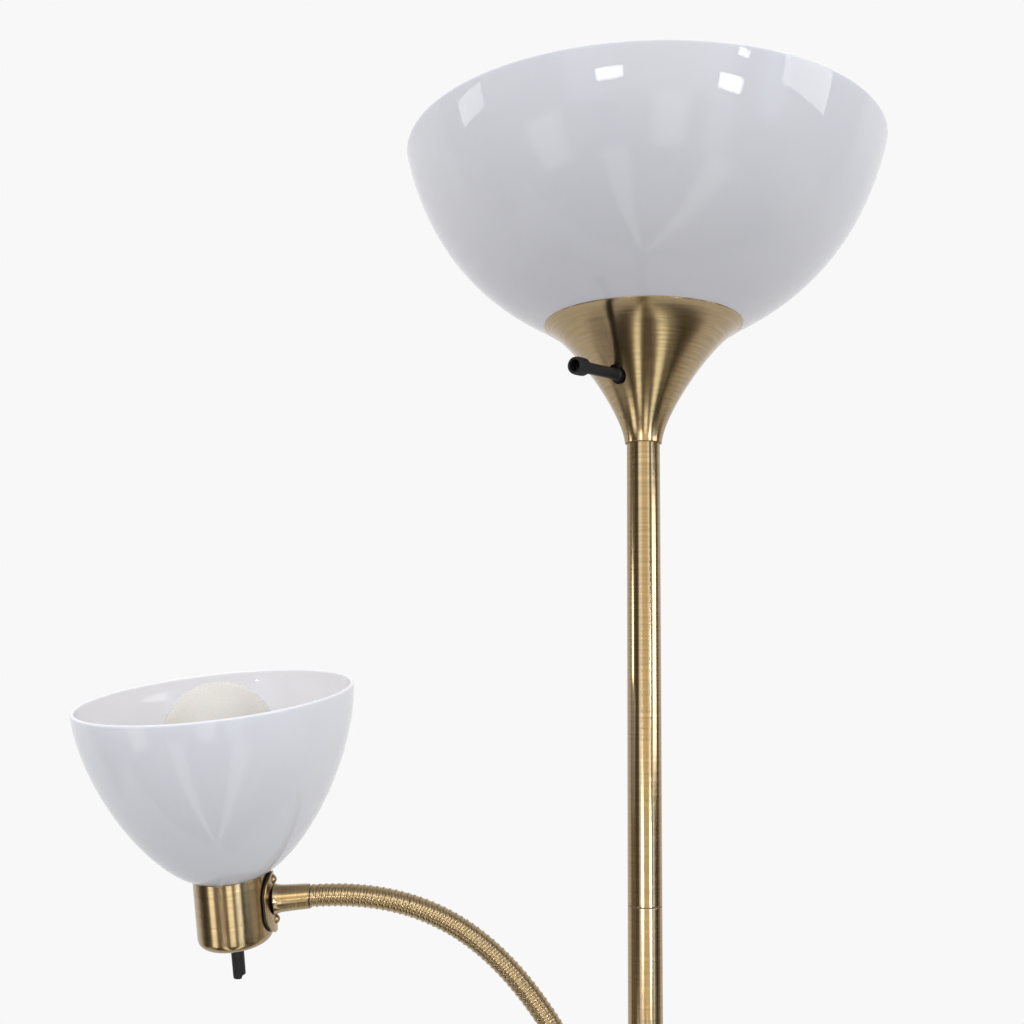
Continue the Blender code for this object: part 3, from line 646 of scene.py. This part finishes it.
def build_upper_socket():
    outline = [
        (13 * MM, 27 * MM, 1 * MM), (17 * MM, 32 * MM, 1 * MM), (17 * MM, 42 * MM, 1 * MM),
        (19.5 * MM, 45 * MM, 1 * MM), (19.5 * MM, 58.4 * MM, 0.4 * MM), (25 * MM, 59.4 * MM, 0.6 * MM),
        (25 * MM, 61.6 * MM, 0.6 * MM), (19.5 * MM, 61.6 * MM, 0.3 * MM), (19.5 * MM, 74 * MM, 0.8 * MM),
        (14.3 * MM, 74 * MM, 0.6 * MM), (14.3 * MM, 44 * MM), (2.2 * MM, 44 * MM), (2.2 * MM, 27 * MM),
    ]
    socket = turned("upper_socket_glazed", outline, "porcelain", UPRIGHT, 96)
    drill = turned("well_drill", pipe(3.8 * MM, 0, -19 * MM, 0, 0), None, SWITCH, 32)
    stand_in(carve(socket, drill), "stand", "upper_socket")

    ribs = ribbed(36, 0.5 * MM, 67 * MM, 71.5 * MM, 22 * MM)
    grip = [(22.1 * MM, h) for h in stations(67.2 * MM, 71.2 * MM, 5)]
    ring = turned(
        "upper_shade_ring_moulded",
        [
            (19.9 * MM, 64.6 * MM), (27 * MM, 64.6 * MM, 0.3 * MM), (27 * MM, 66 * MM, 0.5 * MM),
            (22.2 * MM, 66.8 * MM, 0.3 * MM), *grip, (22.1 * MM, 72 * MM, 0.5 * MM), (19.9 * MM, 72 * MM),
        ],
        "opal", UPRIGHT, 288, ribs,
    )
    stand_in(ring, "stand", "upper_shade_ring")


def build_bulb(prefix, tip, placed, body):
    """Lamp bulb: frosted pear envelope, and its cap with a rolled thread, up from the contact."""
    reach, glass_r, wall = 115.4 * MM, 32.7 * MM, 0.8 * MM
    cap_r, cap_h = 13.1 * MM, 26 * MM
    neck_r = cap_r - 0.9 * MM
    neck_z = tip + 14 * MM
    centre = tip + reach - glass_r
    waist = cubic((neck_r, tip + cap_h), (neck_r + 2 * MM, tip + 44 * MM),
                  (glass_r, centre - 22 * MM), (glass_r, centre), 28)
    turns = [pi / 2 * k / 20 for k in range(1, 20)]
    dome = [(glass_r * cos(a), centre + glass_r * sin(a)) for a in turns]
    outside = [(neck_r, neck_z), *waist, *dome]
    inside = offset_profile(outside, wall)
    outline = [*outside, (0, centre + glass_r), (0, centre + glass_r - wall), *inside[::-1]]
    glass = turned(prefix + "_bulb_frosted", outline, "bulb", placed, 96)
    stand_in(glass, body, prefix + "_bulb_glass")

    base, pitch, crests, wave = tip + 5.6 * MM, 3.6 * MM, 5, 0.45 * MM
    thread = [(cap_r - wave + wave * cos(2 * pi * k / 8), base + pitch * k / 8)
              for k in range(crests * 8 + 1)]
    cap = turned(
        prefix + "_bulb_cap_rolled",
        [
            (0, tip), (4.5 * MM, tip, 1 * MM), (6 * MM, tip + 2.2 * MM, 0.4 * MM),
            (12 * MM, tip + 4.6 * MM, 1 * MM), *thread, (cap_r, tip + cap_h, 0.2 * MM),
            (cap_r - 0.5 * MM, tip + cap_h, 0.2 * MM), (11.9 * MM, base + pitch), (0, base + pitch),
        ],
        "cap", placed, 72,
    )
    stand_in(cap, body, prefix + "_bulb_cap")


def build_main_switch():
    """Black rotary shaft out of the cone, with a ribbed cap that is hollow at its end."""
    neck_r, shaft_r, tip_r = 4.1 * MM, 3.35 * MM, 2.4 * MM
    shaft = turned(
        "main_switch_shaft_moulded",
        [
            (0, -14 * MM), (shaft_r, -14 * MM), (shaft_r, -8 * MM), (neck_r, -8 * MM, 0.3 * MM),
            (neck_r, 1.2 * MM, 0.8 * MM), (shaft_r, 2 * MM, 0.6 * MM), (shaft_r, 31 * MM, 0.4 * MM),
            (tip_r, 31.8 * MM, 0.2 * MM), (tip_r, 35.5 * MM, 0.4 * MM), (0, 35.5 * MM),
        ],
        "black_plastic", SWITCH, 64,
    )
    stand_in(shaft, "main_switch", "main_switch_shaft")

    cap_r, low, high = 4.85 * MM, 32.2 * MM, 42.2 * MM
    ribs = ribbed(20, 0.38 * MM, low + 1.1 * MM, high - 0.9 * MM, cap_r - 0.1 * MM)
    side = [(cap_r, h) for h in stations(low + 1 * MM, high - 0.8 * MM, 12)]
    cap = turned(
        "main_switch_cap_ribbed",
        [
            (2.7 * MM, low), (3.9 * MM, low, 0.5 * MM), (cap_r, low + 0.8 * MM, 0.3 * MM), *side,
            (cap_r, high, 0.6 * MM), (3.4 * MM, high, 0.3 * MM), (3.3 * MM, 35.8 * MM, 0.2 * MM),
            (2.7 * MM, 35.8 * MM),
        ],
        "black_plastic", SWITCH, 240, ribs,
    )
    stand_in(cap, "main_switch", "main_switch_cap")


# ---------------------------------------------------------------- gooseneck

HOSE_R = 6.4 * MM
HOSE_BORE = 3.4 * MM
HOSE_PITCH = 3.55 * MM
WIRE_SEAMS = (0.0, 0.66, 1.0)  # where in a pitch the wires meet; the narrow one is the second
GROOVE_DEPTH, GROOVE_WIDTH = 0.62 * MM, 0.11
NARROW_DROP, NARROW_WIDTH = 0.24 * MM, 0.12


def hose_line(first_pivot, along):
    """Centreline as (points, lengths): a straight lead-in, one cubic, ending at the horn."""
    a, d = first_pivot, HEAD @ Vector((HORN_X, 0, HORN_Z))
    horn_way = (HEAD.to_3x3() @ Vector((1, 0, 0))).normalized()
    b, c = a + along * (79.5 * MM), d + horn_way * (100 * MM)
    points = [a - along * (5 * MM)]
    steps = 1600
    for k in range(steps + 1):
        t = k / steps
        points.append(a * (1 - t) ** 3 + b * 3 * t * (1 - t) ** 2 + c * 3 * t * t * (1 - t) + d * t ** 3)
    points.append(d - horn_way * (3 * MM))
    lengths = [0.0]
    for before, after in zip(points, points[1:]):
        lengths.append(lengths[-1] + (after - before).length)
    return points, lengths


class Hose:
    """Wound flexible tube: a wide round wire, and a narrow one in the groove beside it."""

    def __init__(self, points, lengths):
        self.points, self.lengths = points, lengths
        self.total = lengths[-1]

    def centre(self, s):
        s = max(0.0, min(self.total, s))
        low, high = 0, len(self.lengths) - 1
        while high - low > 1:
            middle = (low + high) // 2
            if self.lengths[middle] <= s:
                low = middle
            else:
                high = middle
        share = (s - self.lengths[low]) / (self.lengths[high] - self.lengths[low])
        here = self.points[low].lerp(self.points[high], share)
        way = (self.points[min(high + 2, len(self.points) - 1)] - self.points[max(low - 2, 0)])
        return here, way.normalized()

    def radius(self, s, turn):
        phase = (s / HOSE_PITCH - turn / (2 * pi)) % 1
        groove = max(exp(-((phase - seam) / GROOVE_WIDTH) ** 2) for seam in WIRE_SEAMS)
        narrow_middle = (WIRE_SEAMS[1] + WIRE_SEAMS[2]) / 2
        narrow = exp(-((phase - narrow_middle) / NARROW_WIDTH) ** 2) * (1 - groove)
        return HOSE_R - GROOVE_DEPTH * groove - NARROW_DROP * narrow

    def ring(self, s, count, radius=None):
        here, way = self.centre(s)
        side = Vector((0, 1, 0))
        up = way.cross(side).normalized()
        ring = []
        for k in range(count):
            turn = 2 * pi * k / count
            r = radius or self.radius(s, turn)
            ring.append(here + (up * cos(turn) + side * sin(turn)) * r)
        return ring

    def place_of(self, point):
        k = min(range(len(self.points)), key=lambda i: (self.points[i] - point).length)
        return self.lengths[k]


def build_gooseneck(first_pivot, along):
    """Eight lengths of one hose: each crosses one joint, from mid link to mid link."""
    hose = Hose(*hose_line(first_pivot, along))
    names = [joint["name"] for joint in frame["joints"] if joint["name"].startswith("arm_")]
    places = [hose.place_of(joint_point(name)) for name in names]
    cuts = [0.0] + [(a + b) / 2 for a, b in zip(places, places[1:])] + [hose.total]
    around, per_pitch, margin = 48, 16, 1.2 * MM
    for k, name in enumerate(names):
        low, high = cuts[k], cuts[k + 1]
        steps = ceil((high - low) / HOSE_PITCH * per_pitch)
        along_hose = [low + (high - low) * n / steps for n in range(steps + 1)]
        skin = [hose.ring(s, around) for s in along_hose]
        inner_steps = max(6, steps // 8)
        inside = [low + (high - low) * n / inner_steps for n in range(inner_steps + 1)]
        core = [hose.ring(s, around, HOSE_BORE) for s in reversed(inside)]
        title = f"gooseneck_hose_{k + 1}"
        mesh = grid_mesh(title, skin + core, (2 * pi * HOSE_R, along_hose + inside[::-1]))
        piece = add_object(title, mesh, "hose_brass", sharp=70)
        joint = JOINTS[name]
        start, end = hose.centre(low + margin)[0], hose.centre(high - margin)[0]
        between = [(joint["parent"], tuple(start)), (joint["child"], tuple(end))]
        # For this joint the parent's and child's ends are listed the other way round. Either
        # order bends alike, but here the other one loses the hinge to rounding at one pose
        if name == "arm_lift_high":
            between.reverse()
        (one, start), (other, end) = between
        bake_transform(piece)
        if k < 7:
            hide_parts(f"gooseneck_link_{k + 1}")


# ---------------------------------------------------------------- reading head

CUP_R = 21.5 * MM
CUP_H = 39.7 * MM


def build_horn():
    """Tapered stub that carries the hose; its foot is brazed to the saddle plate."""
    start = CUP_R + 2.5 * MM
    flare = cubic((8.8 * MM, start), (7.9 * MM, start + 1.6 * MM), (7.7 * MM, start + 3 * MM),
                  (7.5 * MM, start + 6 * MM), 10)
    taper = cubic(flare[-1], (7.3 * MM, start + 10 * MM), (7.1 * MM, HORN_X - 4 * MM),
                  (7 * MM, HORN_X - 1.2 * MM), 10)
    horn = turned(
        "arm_horn_turned",
        [
            (5.2 * MM, start), *flare, *taper[1:], (7 * MM, HORN_X - 0.4 * MM, 0.25 * MM),
            (6.8 * MM, HORN_X, 0.35 * MM), (6.5 * MM, HORN_X, 0.2 * MM), (6.5 * MM, HORN_X - 4 * MM),
            (5.2 * MM, HORN_X - 5 * MM),
        ],
        "cone_brass", HORN, 96,
    )
    stand_in(horn, "reading_head", "arm_horn")


def build_cup():
    wall, corner, key_hole = 0.8 * MM, 5.5 * MM, 4.6 * MM
    flat = CUP_R - corner
    turns = [pi / 2 * k / 16 for k in range(17)]
    outside = [(flat + corner * sin(a), corner * (1 - cos(a))) for a in turns]
    inside = [(flat + (corner - wall) * sin(a), wall + (corner - wall) * (1 - cos(a))) for a in turns]
    outline = [(key_hole, 0, 0.3 * MM), *outside, (CUP_R, CUP_H, 0.3 * MM)]
    outline += [(CUP_R - wall, CUP_H, 0.3 * MM), *inside[::-1], (key_hole, wall, 0.3 * MM)]
    cup = turned("reading_cup_drawn", outline, "cone_brass", HEAD, 192)
    stand_in(cup, "reading_head", "reading_cup")


def saddle(name, inner, outer, half_width, half_height, edge, look):
    """Plate bent round the cup: stadium outline, round hole for the horn, softened edges."""
    hole, drop = 5.3 * MM, 1.2 * MM
    straight = half_height - half_width
    around = 144
    outline, circle = [], []
    for k in range(around):
        turn = 2 * pi * (k + 0.5) / around
        lift = straight if sin(turn) > 0 else -straight
        outline.append(Vector((half_width * cos(turn), half_width * sin(turn) + lift)))
        circle.append(Vector((hole * cos(turn), hole * sin(turn))))
    softened = [(edge * (1 - sin(a)), edge * (1 - cos(a))) for a in stations(0, pi / 2, 6)]
    path = [(t, 0.0, inner) for t in stations(0, 0.9, 8)]
    path += [(1.0, back, inner + rise) for back, rise in softened]
    path += [(1.0, back, outer - rise) for back, rise in reversed(softened)]
    path += [(t, 0.0, outer) for t in stations(0.9, 0, 8)]
    rings, along = [], []
    for n, (t, back, radius) in enumerate(path):
        ring = []
        for flat_edge, round_edge in zip(outline, circle):
            spot = round_edge.lerp(flat_edge, t)
            if back:
                spot = spot - (spot - round_edge).normalized() * back
            # The plate's middle is this drop below the horn's axis, and the hole stays on the axis
            rise = HORN_Z - drop + spot.y + (1 - t) * drop
            turn = spot.x / outer
            ring.append((radius * cos(turn), radius * sin(turn), rise))
        rings.append(ring)
        along.append(n * 1.2 * MM)
    return add_object(name, grid_mesh(name, rings, (2 * pi * half_height, along)), look, HEAD)


def build_saddle():
    plate_out = CUP_R + 2.4 * MM
    plate = saddle("saddle_plate_pressed", CUP_R + 1.4 * MM, plate_out, 12.5 * MM, 17.3 * MM,
                   0.35 * MM, "cone_brass")
    stand_in(plate, "reading_head", "saddle_plate")
    gasket = saddle("saddle_gasket_rubber", CUP_R + 0.3 * MM, CUP_R + 1.25 * MM, 12.1 * MM, 16.9 * MM,
                    0.2 * MM, "black_rubber")
    stand_in(gasket, "reading_head", "saddle_gasket")

    head_r, rise = 2.8 * MM, 1.9 * MM
    ball_r = (head_r ** 2 + rise ** 2) / (2 * rise)
    leans = [asin(head_r / ball_r) * (1 - k / 12) for k in range(1, 12)]
    dome = [(ball_r * sin(a), plate_out + rise - ball_r + ball_r * cos(a)) for a in leans]
    recess = (2.6 * MM, 0.5 * MM, 1.6 * MM)
    for word, side in (("upper", 1), ("lower", -1)):
        placed = HORN @ Matrix.Translation((-side * 11.6 * MM, 0, 0))
        screw = turned(
            f"plate_screw_{word}_domed",
            [
                (0, plate_out - 4 * MM), (1.5 * MM, plate_out - 4 * MM), (1.5 * MM, plate_out - 0.2 * MM),
                (head_r, plate_out - 0.2 * MM), (head_r, plate_out + 0.25 * MM), *dome,
                (0, plate_out + rise),
            ],
            "cone_brass", placed, 64,
        )
        top = placed @ Matrix.Translation((0, 0, plate_out + rise))
        for turn in (25, 115):
            spot = top @ Matrix.Rotation(radians(turn), 4, "Z")
            carve(screw, add_object("recess", block("recess", recess), None, spot))
        stand_in(screw, "reading_head", f"plate_screw_{word}")


def build_reading_shade():
    """Side opens fast from the cup and stands almost upright at the rim."""
    wall, seat_r = 2.2 * MM, 20.2 * MM
    low, rim_z, rim_r = CUP_H + 0.3 * MM, 143.1 * MM, 78.5 * MM
    crowding, at_rim, at_cup = 1.7, 1.65, 0.73
    side = []
    for share in stations(0, 1, 65):
        s = share ** crowding
        swell = (1 - (1 - s) ** at_rim) ** at_cup
        side.append((CUP_R + (rim_r - CUP_R) * swell, low + (rim_z - low) * s))
    inner = [p for p in offset_profile(side, wall) if p[1] > low + wall * 1.6]
    outline = [(seat_r, low, 0.3 * MM), *side[:-1], (rim_r, rim_z, 0.9 * MM)]
    outline += [(rim_r - wall, rim_z, 0.9 * MM), *inner[-2::-1]]
    outline += [(CUP_R + 0.9 * MM, low + wall, 0.6 * MM), (seat_r, low + wall, 0.3 * MM)]
    shade = turned("reading_shade_moulded", outline, "opal", HEAD, 224)
    stand_in(shade, "reading_head", "reading_shade")


def build_reading_socket():
    outline = [
        (4.1 * MM, 5 * MM), (12.4 * MM, 5 * MM, 0.6 * MM), (12.8 * MM, 7 * MM),
        (12.8 * MM, 31 * MM, 0.5 * MM), (19.4 * MM, 31.6 * MM, 0.8 * MM), (19.4 * MM, 52 * MM, 0.8 * MM),
        (14.3 * MM, 52 * MM, 0.6 * MM), (14.3 * MM, 33 * MM), (2.2 * MM, 33 * MM),
        (2.2 * MM, 14 * MM), (4.1 * MM, 14 * MM),
    ]
    socket = turned("reading_socket_glazed", outline, "porcelain", HEAD, 96)
    stand_in(socket, "reading_head", "reading_socket")
    low = CUP_H + 2.8 * MM
    ribs = ribbed(36, 0.5 * MM, low + 0.8 * MM, low + 6.4 * MM, 22 * MM)
    grip = [(22.1 * MM, h) for h in stations(low + 1 * MM, low + 6.2 * MM, 6)]
    ring = turned(
        "reading_shade_ring_moulded",
        [(19.8 * MM, low), (22.1 * MM, low, 0.4 * MM), *grip, (22.1 * MM, low + 7 * MM, 0.4 * MM),
         (19.8 * MM, low + 7 * MM, 0.3 * MM)],
        "opal", HEAD, 288, ribs,
    )
    stand_in(ring, "reading_head", "reading_shade_ring")


def build_reading_switch():
    """Rotary key under the cup, with its stepped and worn end."""
    key_r, low, high, thinning = 3.75 * MM, -21 * MM, 12 * MM, 0.05

    def taper(radius, height, turn):
        return radius * (1 - thinning * max(0, -height) / -low)

    sides = [(key_r, h) for h in stations(low + 1.4 * MM, -1 * MM, 8)]
    key = turned(
        "reading_switch_key_moulded",
        [(0, low), (key_r, low, 0.7 * MM), *sides, (key_r, high, 0.4 * MM), (0, high)],
        "black_plastic", HEAD, 64, taper,
    )
    step = HEAD @ Matrix.Translation((4.4 * MM, 0, -22.1 * MM))
    carve(key, add_object("key_step", block("key_step", (6 * MM,) * 3, 0.4 * MM), None, step))
    stand_in(key, "reading_switch", "reading_switch_key")


# ---------------------------------------------------------------- kept CAD pieces, room and camera

def finish_kept_nodes():
    """CAD nodes that stay in view or inside get their slot's procedural finish."""
    for node in frame["nodes"].values():
        for place in node.material_slots:
            base = place.material.name.split(".")[0]
            place.material = LOOKS[SLOT_LOOK[base]]


WHITE = 0.939
PALE = (0.94, 0.94, 0.94)
RADIANCE_SCALE = 4.0  # a ramp's colours stay under 1, so it holds radiance over this
# What gloss sees round the lamp: (azimuth from, to; radiance), with 0 in front and + to the
# right. One table for the level of the eye, one for the height the cup looks down to, one
# towards the floor.
LEVEL_BANDS = [
    (-180, -112, PALE), (-108, -108, (0.34, 0.32, 0.27)), (-92, -92, (0.42, 0.38, 0.32)),
    (-84, -84, (0.14, 0.12, 0.1)), (-76, -76, (0.42, 0.38, 0.3)), (-68, -68, (0.15, 0.13, 0.11)),
    (-48, -48, (0.17, 0.14, 0.12)), (-43, -43, (0.7, 0.66, 0.55)), (-37, -22, (1.9, 2, 2.3)),
    (-18, -18, (1.5, 1.35, 1)), (-8, -8, (1.4, 1.25, 0.85)), (14, 14, (1.35, 1.2, 0.8)),
    (19, 19, (1.5, 1.35, 1)), (23, 31, (1.9, 2, 2.3)), (35, 35, (0.5, 0.46, 0.38)),
    (45, 45, (0.25, 0.22, 0.18)), (49, 57, (1.5, 1.8, 2.2)), (62, 62, (0.4, 0.38, 0.33)),
    (70, 70, (0.3, 0.27, 0.22)), (76, 85, (0.08, 0.07, 0.06)), (92, 92, (0.34, 0.3, 0.25)),
    (106, 106, (0.42, 0.38, 0.33)), (110, 180, PALE),
]
CUP_BANDS = [
    (-180, -116, PALE), (-108, -108, (0.5, 0.46, 0.4)), (-98, -98, (0.08, 0.07, 0.05)),
    (-78, -78, (0.06, 0.05, 0.04)), (-72, -72, (0.2, 0.18, 0.14)), (-66, -66, (0.6, 0.55, 0.45)),
    (-62, -49, (3.2, 3.2, 2.9)), (-44, -44, (0.45, 0.38, 0.3)), (-24, -24, (0.25, 0.2, 0.16)),
    (-4, -4, (0.3, 0.25, 0.2)), (1, 13, (3.2, 3.3, 3)), (17, 17, (0.3, 0.25, 0.2)),
    (23, 23, (0.4, 0.35, 0.28)), (27, 36, (1.6, 1.9, 2)), (41, 41, (0.25, 0.22, 0.17)),
    (48, 67, (0.03, 0.03, 0.02)), (74, 74, (0.5, 0.46, 0.38)), (88, 88, (0.7, 0.66, 0.58)),
    (104, 104, (0.8, 0.76, 0.7)), (112, 180, PALE),
]
FLOOR_BANDS = [
    (-180, -82, PALE), (-77, -77, (0.03, 0.025, 0.02)), (-52, -52, (0.05, 0.04, 0.03)),
    (-40, -40, (0.16, 0.13, 0.1)), (-31, -31, (0.5, 0.44, 0.36)), (-28, -17, (2.6, 2.7, 2.4)),
    (-12, -12, (0.2, 0.15, 0.12)), (18, 18, (0.14, 0.1, 0.08)), (29, 29, (0.3, 0.25, 0.2)),
    (33, 46, (2.6, 2.7, 2.4)), (51, 51, (0.3, 0.28, 0.22)), (66, 66, (0.5, 0.5, 0.42)),
    (72, 72, (0.08, 0.07, 0.05)), (96, 96, (0.1, 0.08, 0.06)), (104, 104, (0.4, 0.37, 0.32)),
    (112, 180, PALE),
]
# Brightness of the room's front: (height angle, gain)
FRONT_GAIN = [(-90, 0.7), (-60, 0.9), (-16, 1.0), (8, 1.0), (17, 1.2), (23, 2.2), (30, 2.2),
              (36, 1.2), (50, 0.6), (90, 0.5)]
# Small bright windows: (azimuth from, to; height angle from, to; radiance)
WINDOWS = [(-27, -15, -11.3, -7, 22), (27, 38, -13, -7.5, 22), (34, 39, -1, 1.5, 22),
           (-97, -82, -3, 4.5, 6), (56, 82, -4, 8, 6)]


def build_world():
    """Pale backdrop for the camera, a banded room for gloss, and a soft dome for all else."""
    world = bpy.data.worlds.new("studio")
    bpy.context.scene.world = world
    tree = Tree(world)
    ray = tree.add("LightPath").outputs
    toward = tree.add("SeparateXYZ", {0: tree.add("TexCoord").outputs["Generated"]}).outputs
    front = tree.math("MULTIPLY", toward["Y"], -1.0)
    turn = tree.math("ARCTAN2", toward["X"], front)
    azimuth = tree.span(turn, -pi, pi)
    height = tree.math("ARCSINE", toward["Z"])

    def bands(table):
        edges = [(edge, colour) for low, high, colour in table for edge in sorted({low, high})]
        return tree.ramp(azimuth, [(edge / 360 + 0.5, tuple(v / RADIANCE_SCALE for v in colour))
                                   for edge, colour in edges])

    gain = tree.ramp(tree.span(height, -pi / 2, pi / 2),
                     [(angle / 180 + 0.5, (g / RADIANCE_SCALE,) * 3) for angle, g in FRONT_GAIN])
    gain = tree.math("MULTIPLY", tree.add("SeparateColor", {0: gain}).outputs[0], RADIANCE_SCALE)
    is_front = tree.span(front, -0.1, 0.25, smooth=True)
    lit = tree.math("ADD", tree.math("MULTIPLY", tree.math("SUBTRACT", gain, 1.0), is_front), 1.0)
    cup_high = tree.span(height, radians(-19), radians(-15), smooth=True)
    cup_low = tree.span(height, radians(-40), radians(-35), smooth=True)
    room = tree.mix(cup_low, bands(FLOOR_BANDS), bands(CUP_BANDS))
    room = tree.mix(cup_high, room, bands(LEVEL_BANDS))
    room = tree.scaled(room, tree.math("MULTIPLY", lit, RADIANCE_SCALE))
    ceiling = tree.span(height, radians(34), radians(58), smooth=True)
    room = tree.mix(ceiling, room, (0.75, 0.75, 0.74, 1))
    glow = 0.0
    for left, right, low, high, radiance in WINDOWS:
        across = tree.math("MULTIPLY", tree.math("GREATER_THAN", turn, radians(left)),
                           tree.math("LESS_THAN", turn, radians(right)))
        up = tree.math("MULTIPLY", tree.math("GREATER_THAN", height, radians(low)),
                       tree.math("LESS_THAN", height, radians(high)))
        glow = tree.math("MULTIPLY_ADD", tree.math("MULTIPLY", across, up), radiance, glow)
    room = tree.add("VectorMath", {0: room, 1: glow}, operation="ADD").outputs[0]

    # Soft dome: brighter above and to the right, dimmer behind
    skyward = tree.span(toward["Z"], -0.9, 0.9, smooth=True)
    dome = tree.mix(skyward, (0.46, 0.465, 0.475, 1), (1.66, 1.69, 1.76, 1))
    behind = tree.span(front, 0.5, -0.6, smooth=True)
    dome = tree.mix(tree.math("MULTIPLY", behind, 0.75), dome, (0.72, 0.70, 0.69, 1))
    dome = tree.scaled(dome, tree.span(toward["X"], -1, 1, 0.94, 1.06))

    seen = tree.mix(ray["Is Glossy Ray"], dome, room)
    seen = tree.mix(ray["Is Camera Ray"], seen, (WHITE, WHITE, WHITE, 1))
    background = tree.nodes["Background"]
    tree.put(background.inputs["Color"], seen)
    background.inputs["Strength"].default_value = 1


def build_floor():
    """Plain pale studio floor; gloss and soft light see the world in its place."""
    floor_r = 3.6
    bm = bmesh.new()
    bmesh.ops.create_circle(bm, cap_ends=True, segments=96, radius=floor_r)
    mesh = bpy.data.meshes.new("studio_floor")
    bm.to_mesh(mesh)
    bm.free()
    material, tree, shader = new_material("pale_floor")
    tone = tree.noise(tree.add("TexCoord").outputs["Object"], 3, 4)
    colour = tree.mix(tree.span(tone, 0.3, 0.7), (0.66, 0.66, 0.66, 1), (0.69, 0.69, 0.69, 1))
    tree.put(shader.inputs["Base Color"], colour)
    shader.inputs["Roughness"].default_value = 0.7
    floor = bpy.data.objects.new("studio_floor", mesh)
    mesh.materials.append(material)
    bpy.context.scene.collection.objects.link(floor)
    floor.location.z = -0.5 * MM
    floor.visible_glossy = False
    floor.visible_diffuse = False


def build_camera():
    """Camera at the photographer's place: low, close, and tipped up a little."""
    yaw, pitch, roll = radians(0.556), radians(7.42), radians(0.609)
    ahead = Vector((sin(yaw) * cos(pitch), cos(yaw) * cos(pitch), sin(pitch)))
    right = Vector((cos(yaw), -sin(yaw), 0))
    up = right.cross(ahead)
    x = right * cos(roll) + up * sin(roll)
    y = up * cos(roll) - right * sin(roll)
    place = Vector((-85.88 * MM, -713.17 * MM, CONE_Z - 138.54 * MM))
    data = bpy.data.cameras.new("camera")
    data.sensor_width = 36
    data.lens = 42.1875
    data.clip_start = 0.01
    camera = bpy.data.objects.new("camera", data)
    bpy.context.scene.collection.objects.link(camera)
    camera.matrix_world = Matrix.Translation(place) @ Matrix((x, y, -ahead)).transposed().to_4x4()
    bpy.context.scene.camera = camera


def main():
    first_pivot = joint_point("arm_sway_low")
    along = (first_pivot - Vector((0, 0, BRANCH_Z))).normalized()
    build_camera()
    build_world()
    build_floor()
    bpy.context.scene.view_settings.view_transform = "Standard"

    finish_kept_nodes()
    build_base()
    build_pole()
    build_arm_collar(first_pivot, along)
    build_cone()
    build_bowl()
    build_upper_socket()
    build_bulb("upper", 45.3 * MM, UPRIGHT, "stand")
    build_main_switch()
    build_gooseneck(first_pivot, along)
    build_horn()
    build_cup()
    build_saddle()
    build_reading_shade()
    build_reading_socket()
    build_bulb("reading", 34.3 * MM, HEAD, "reading_head")
    build_reading_switch()


main()
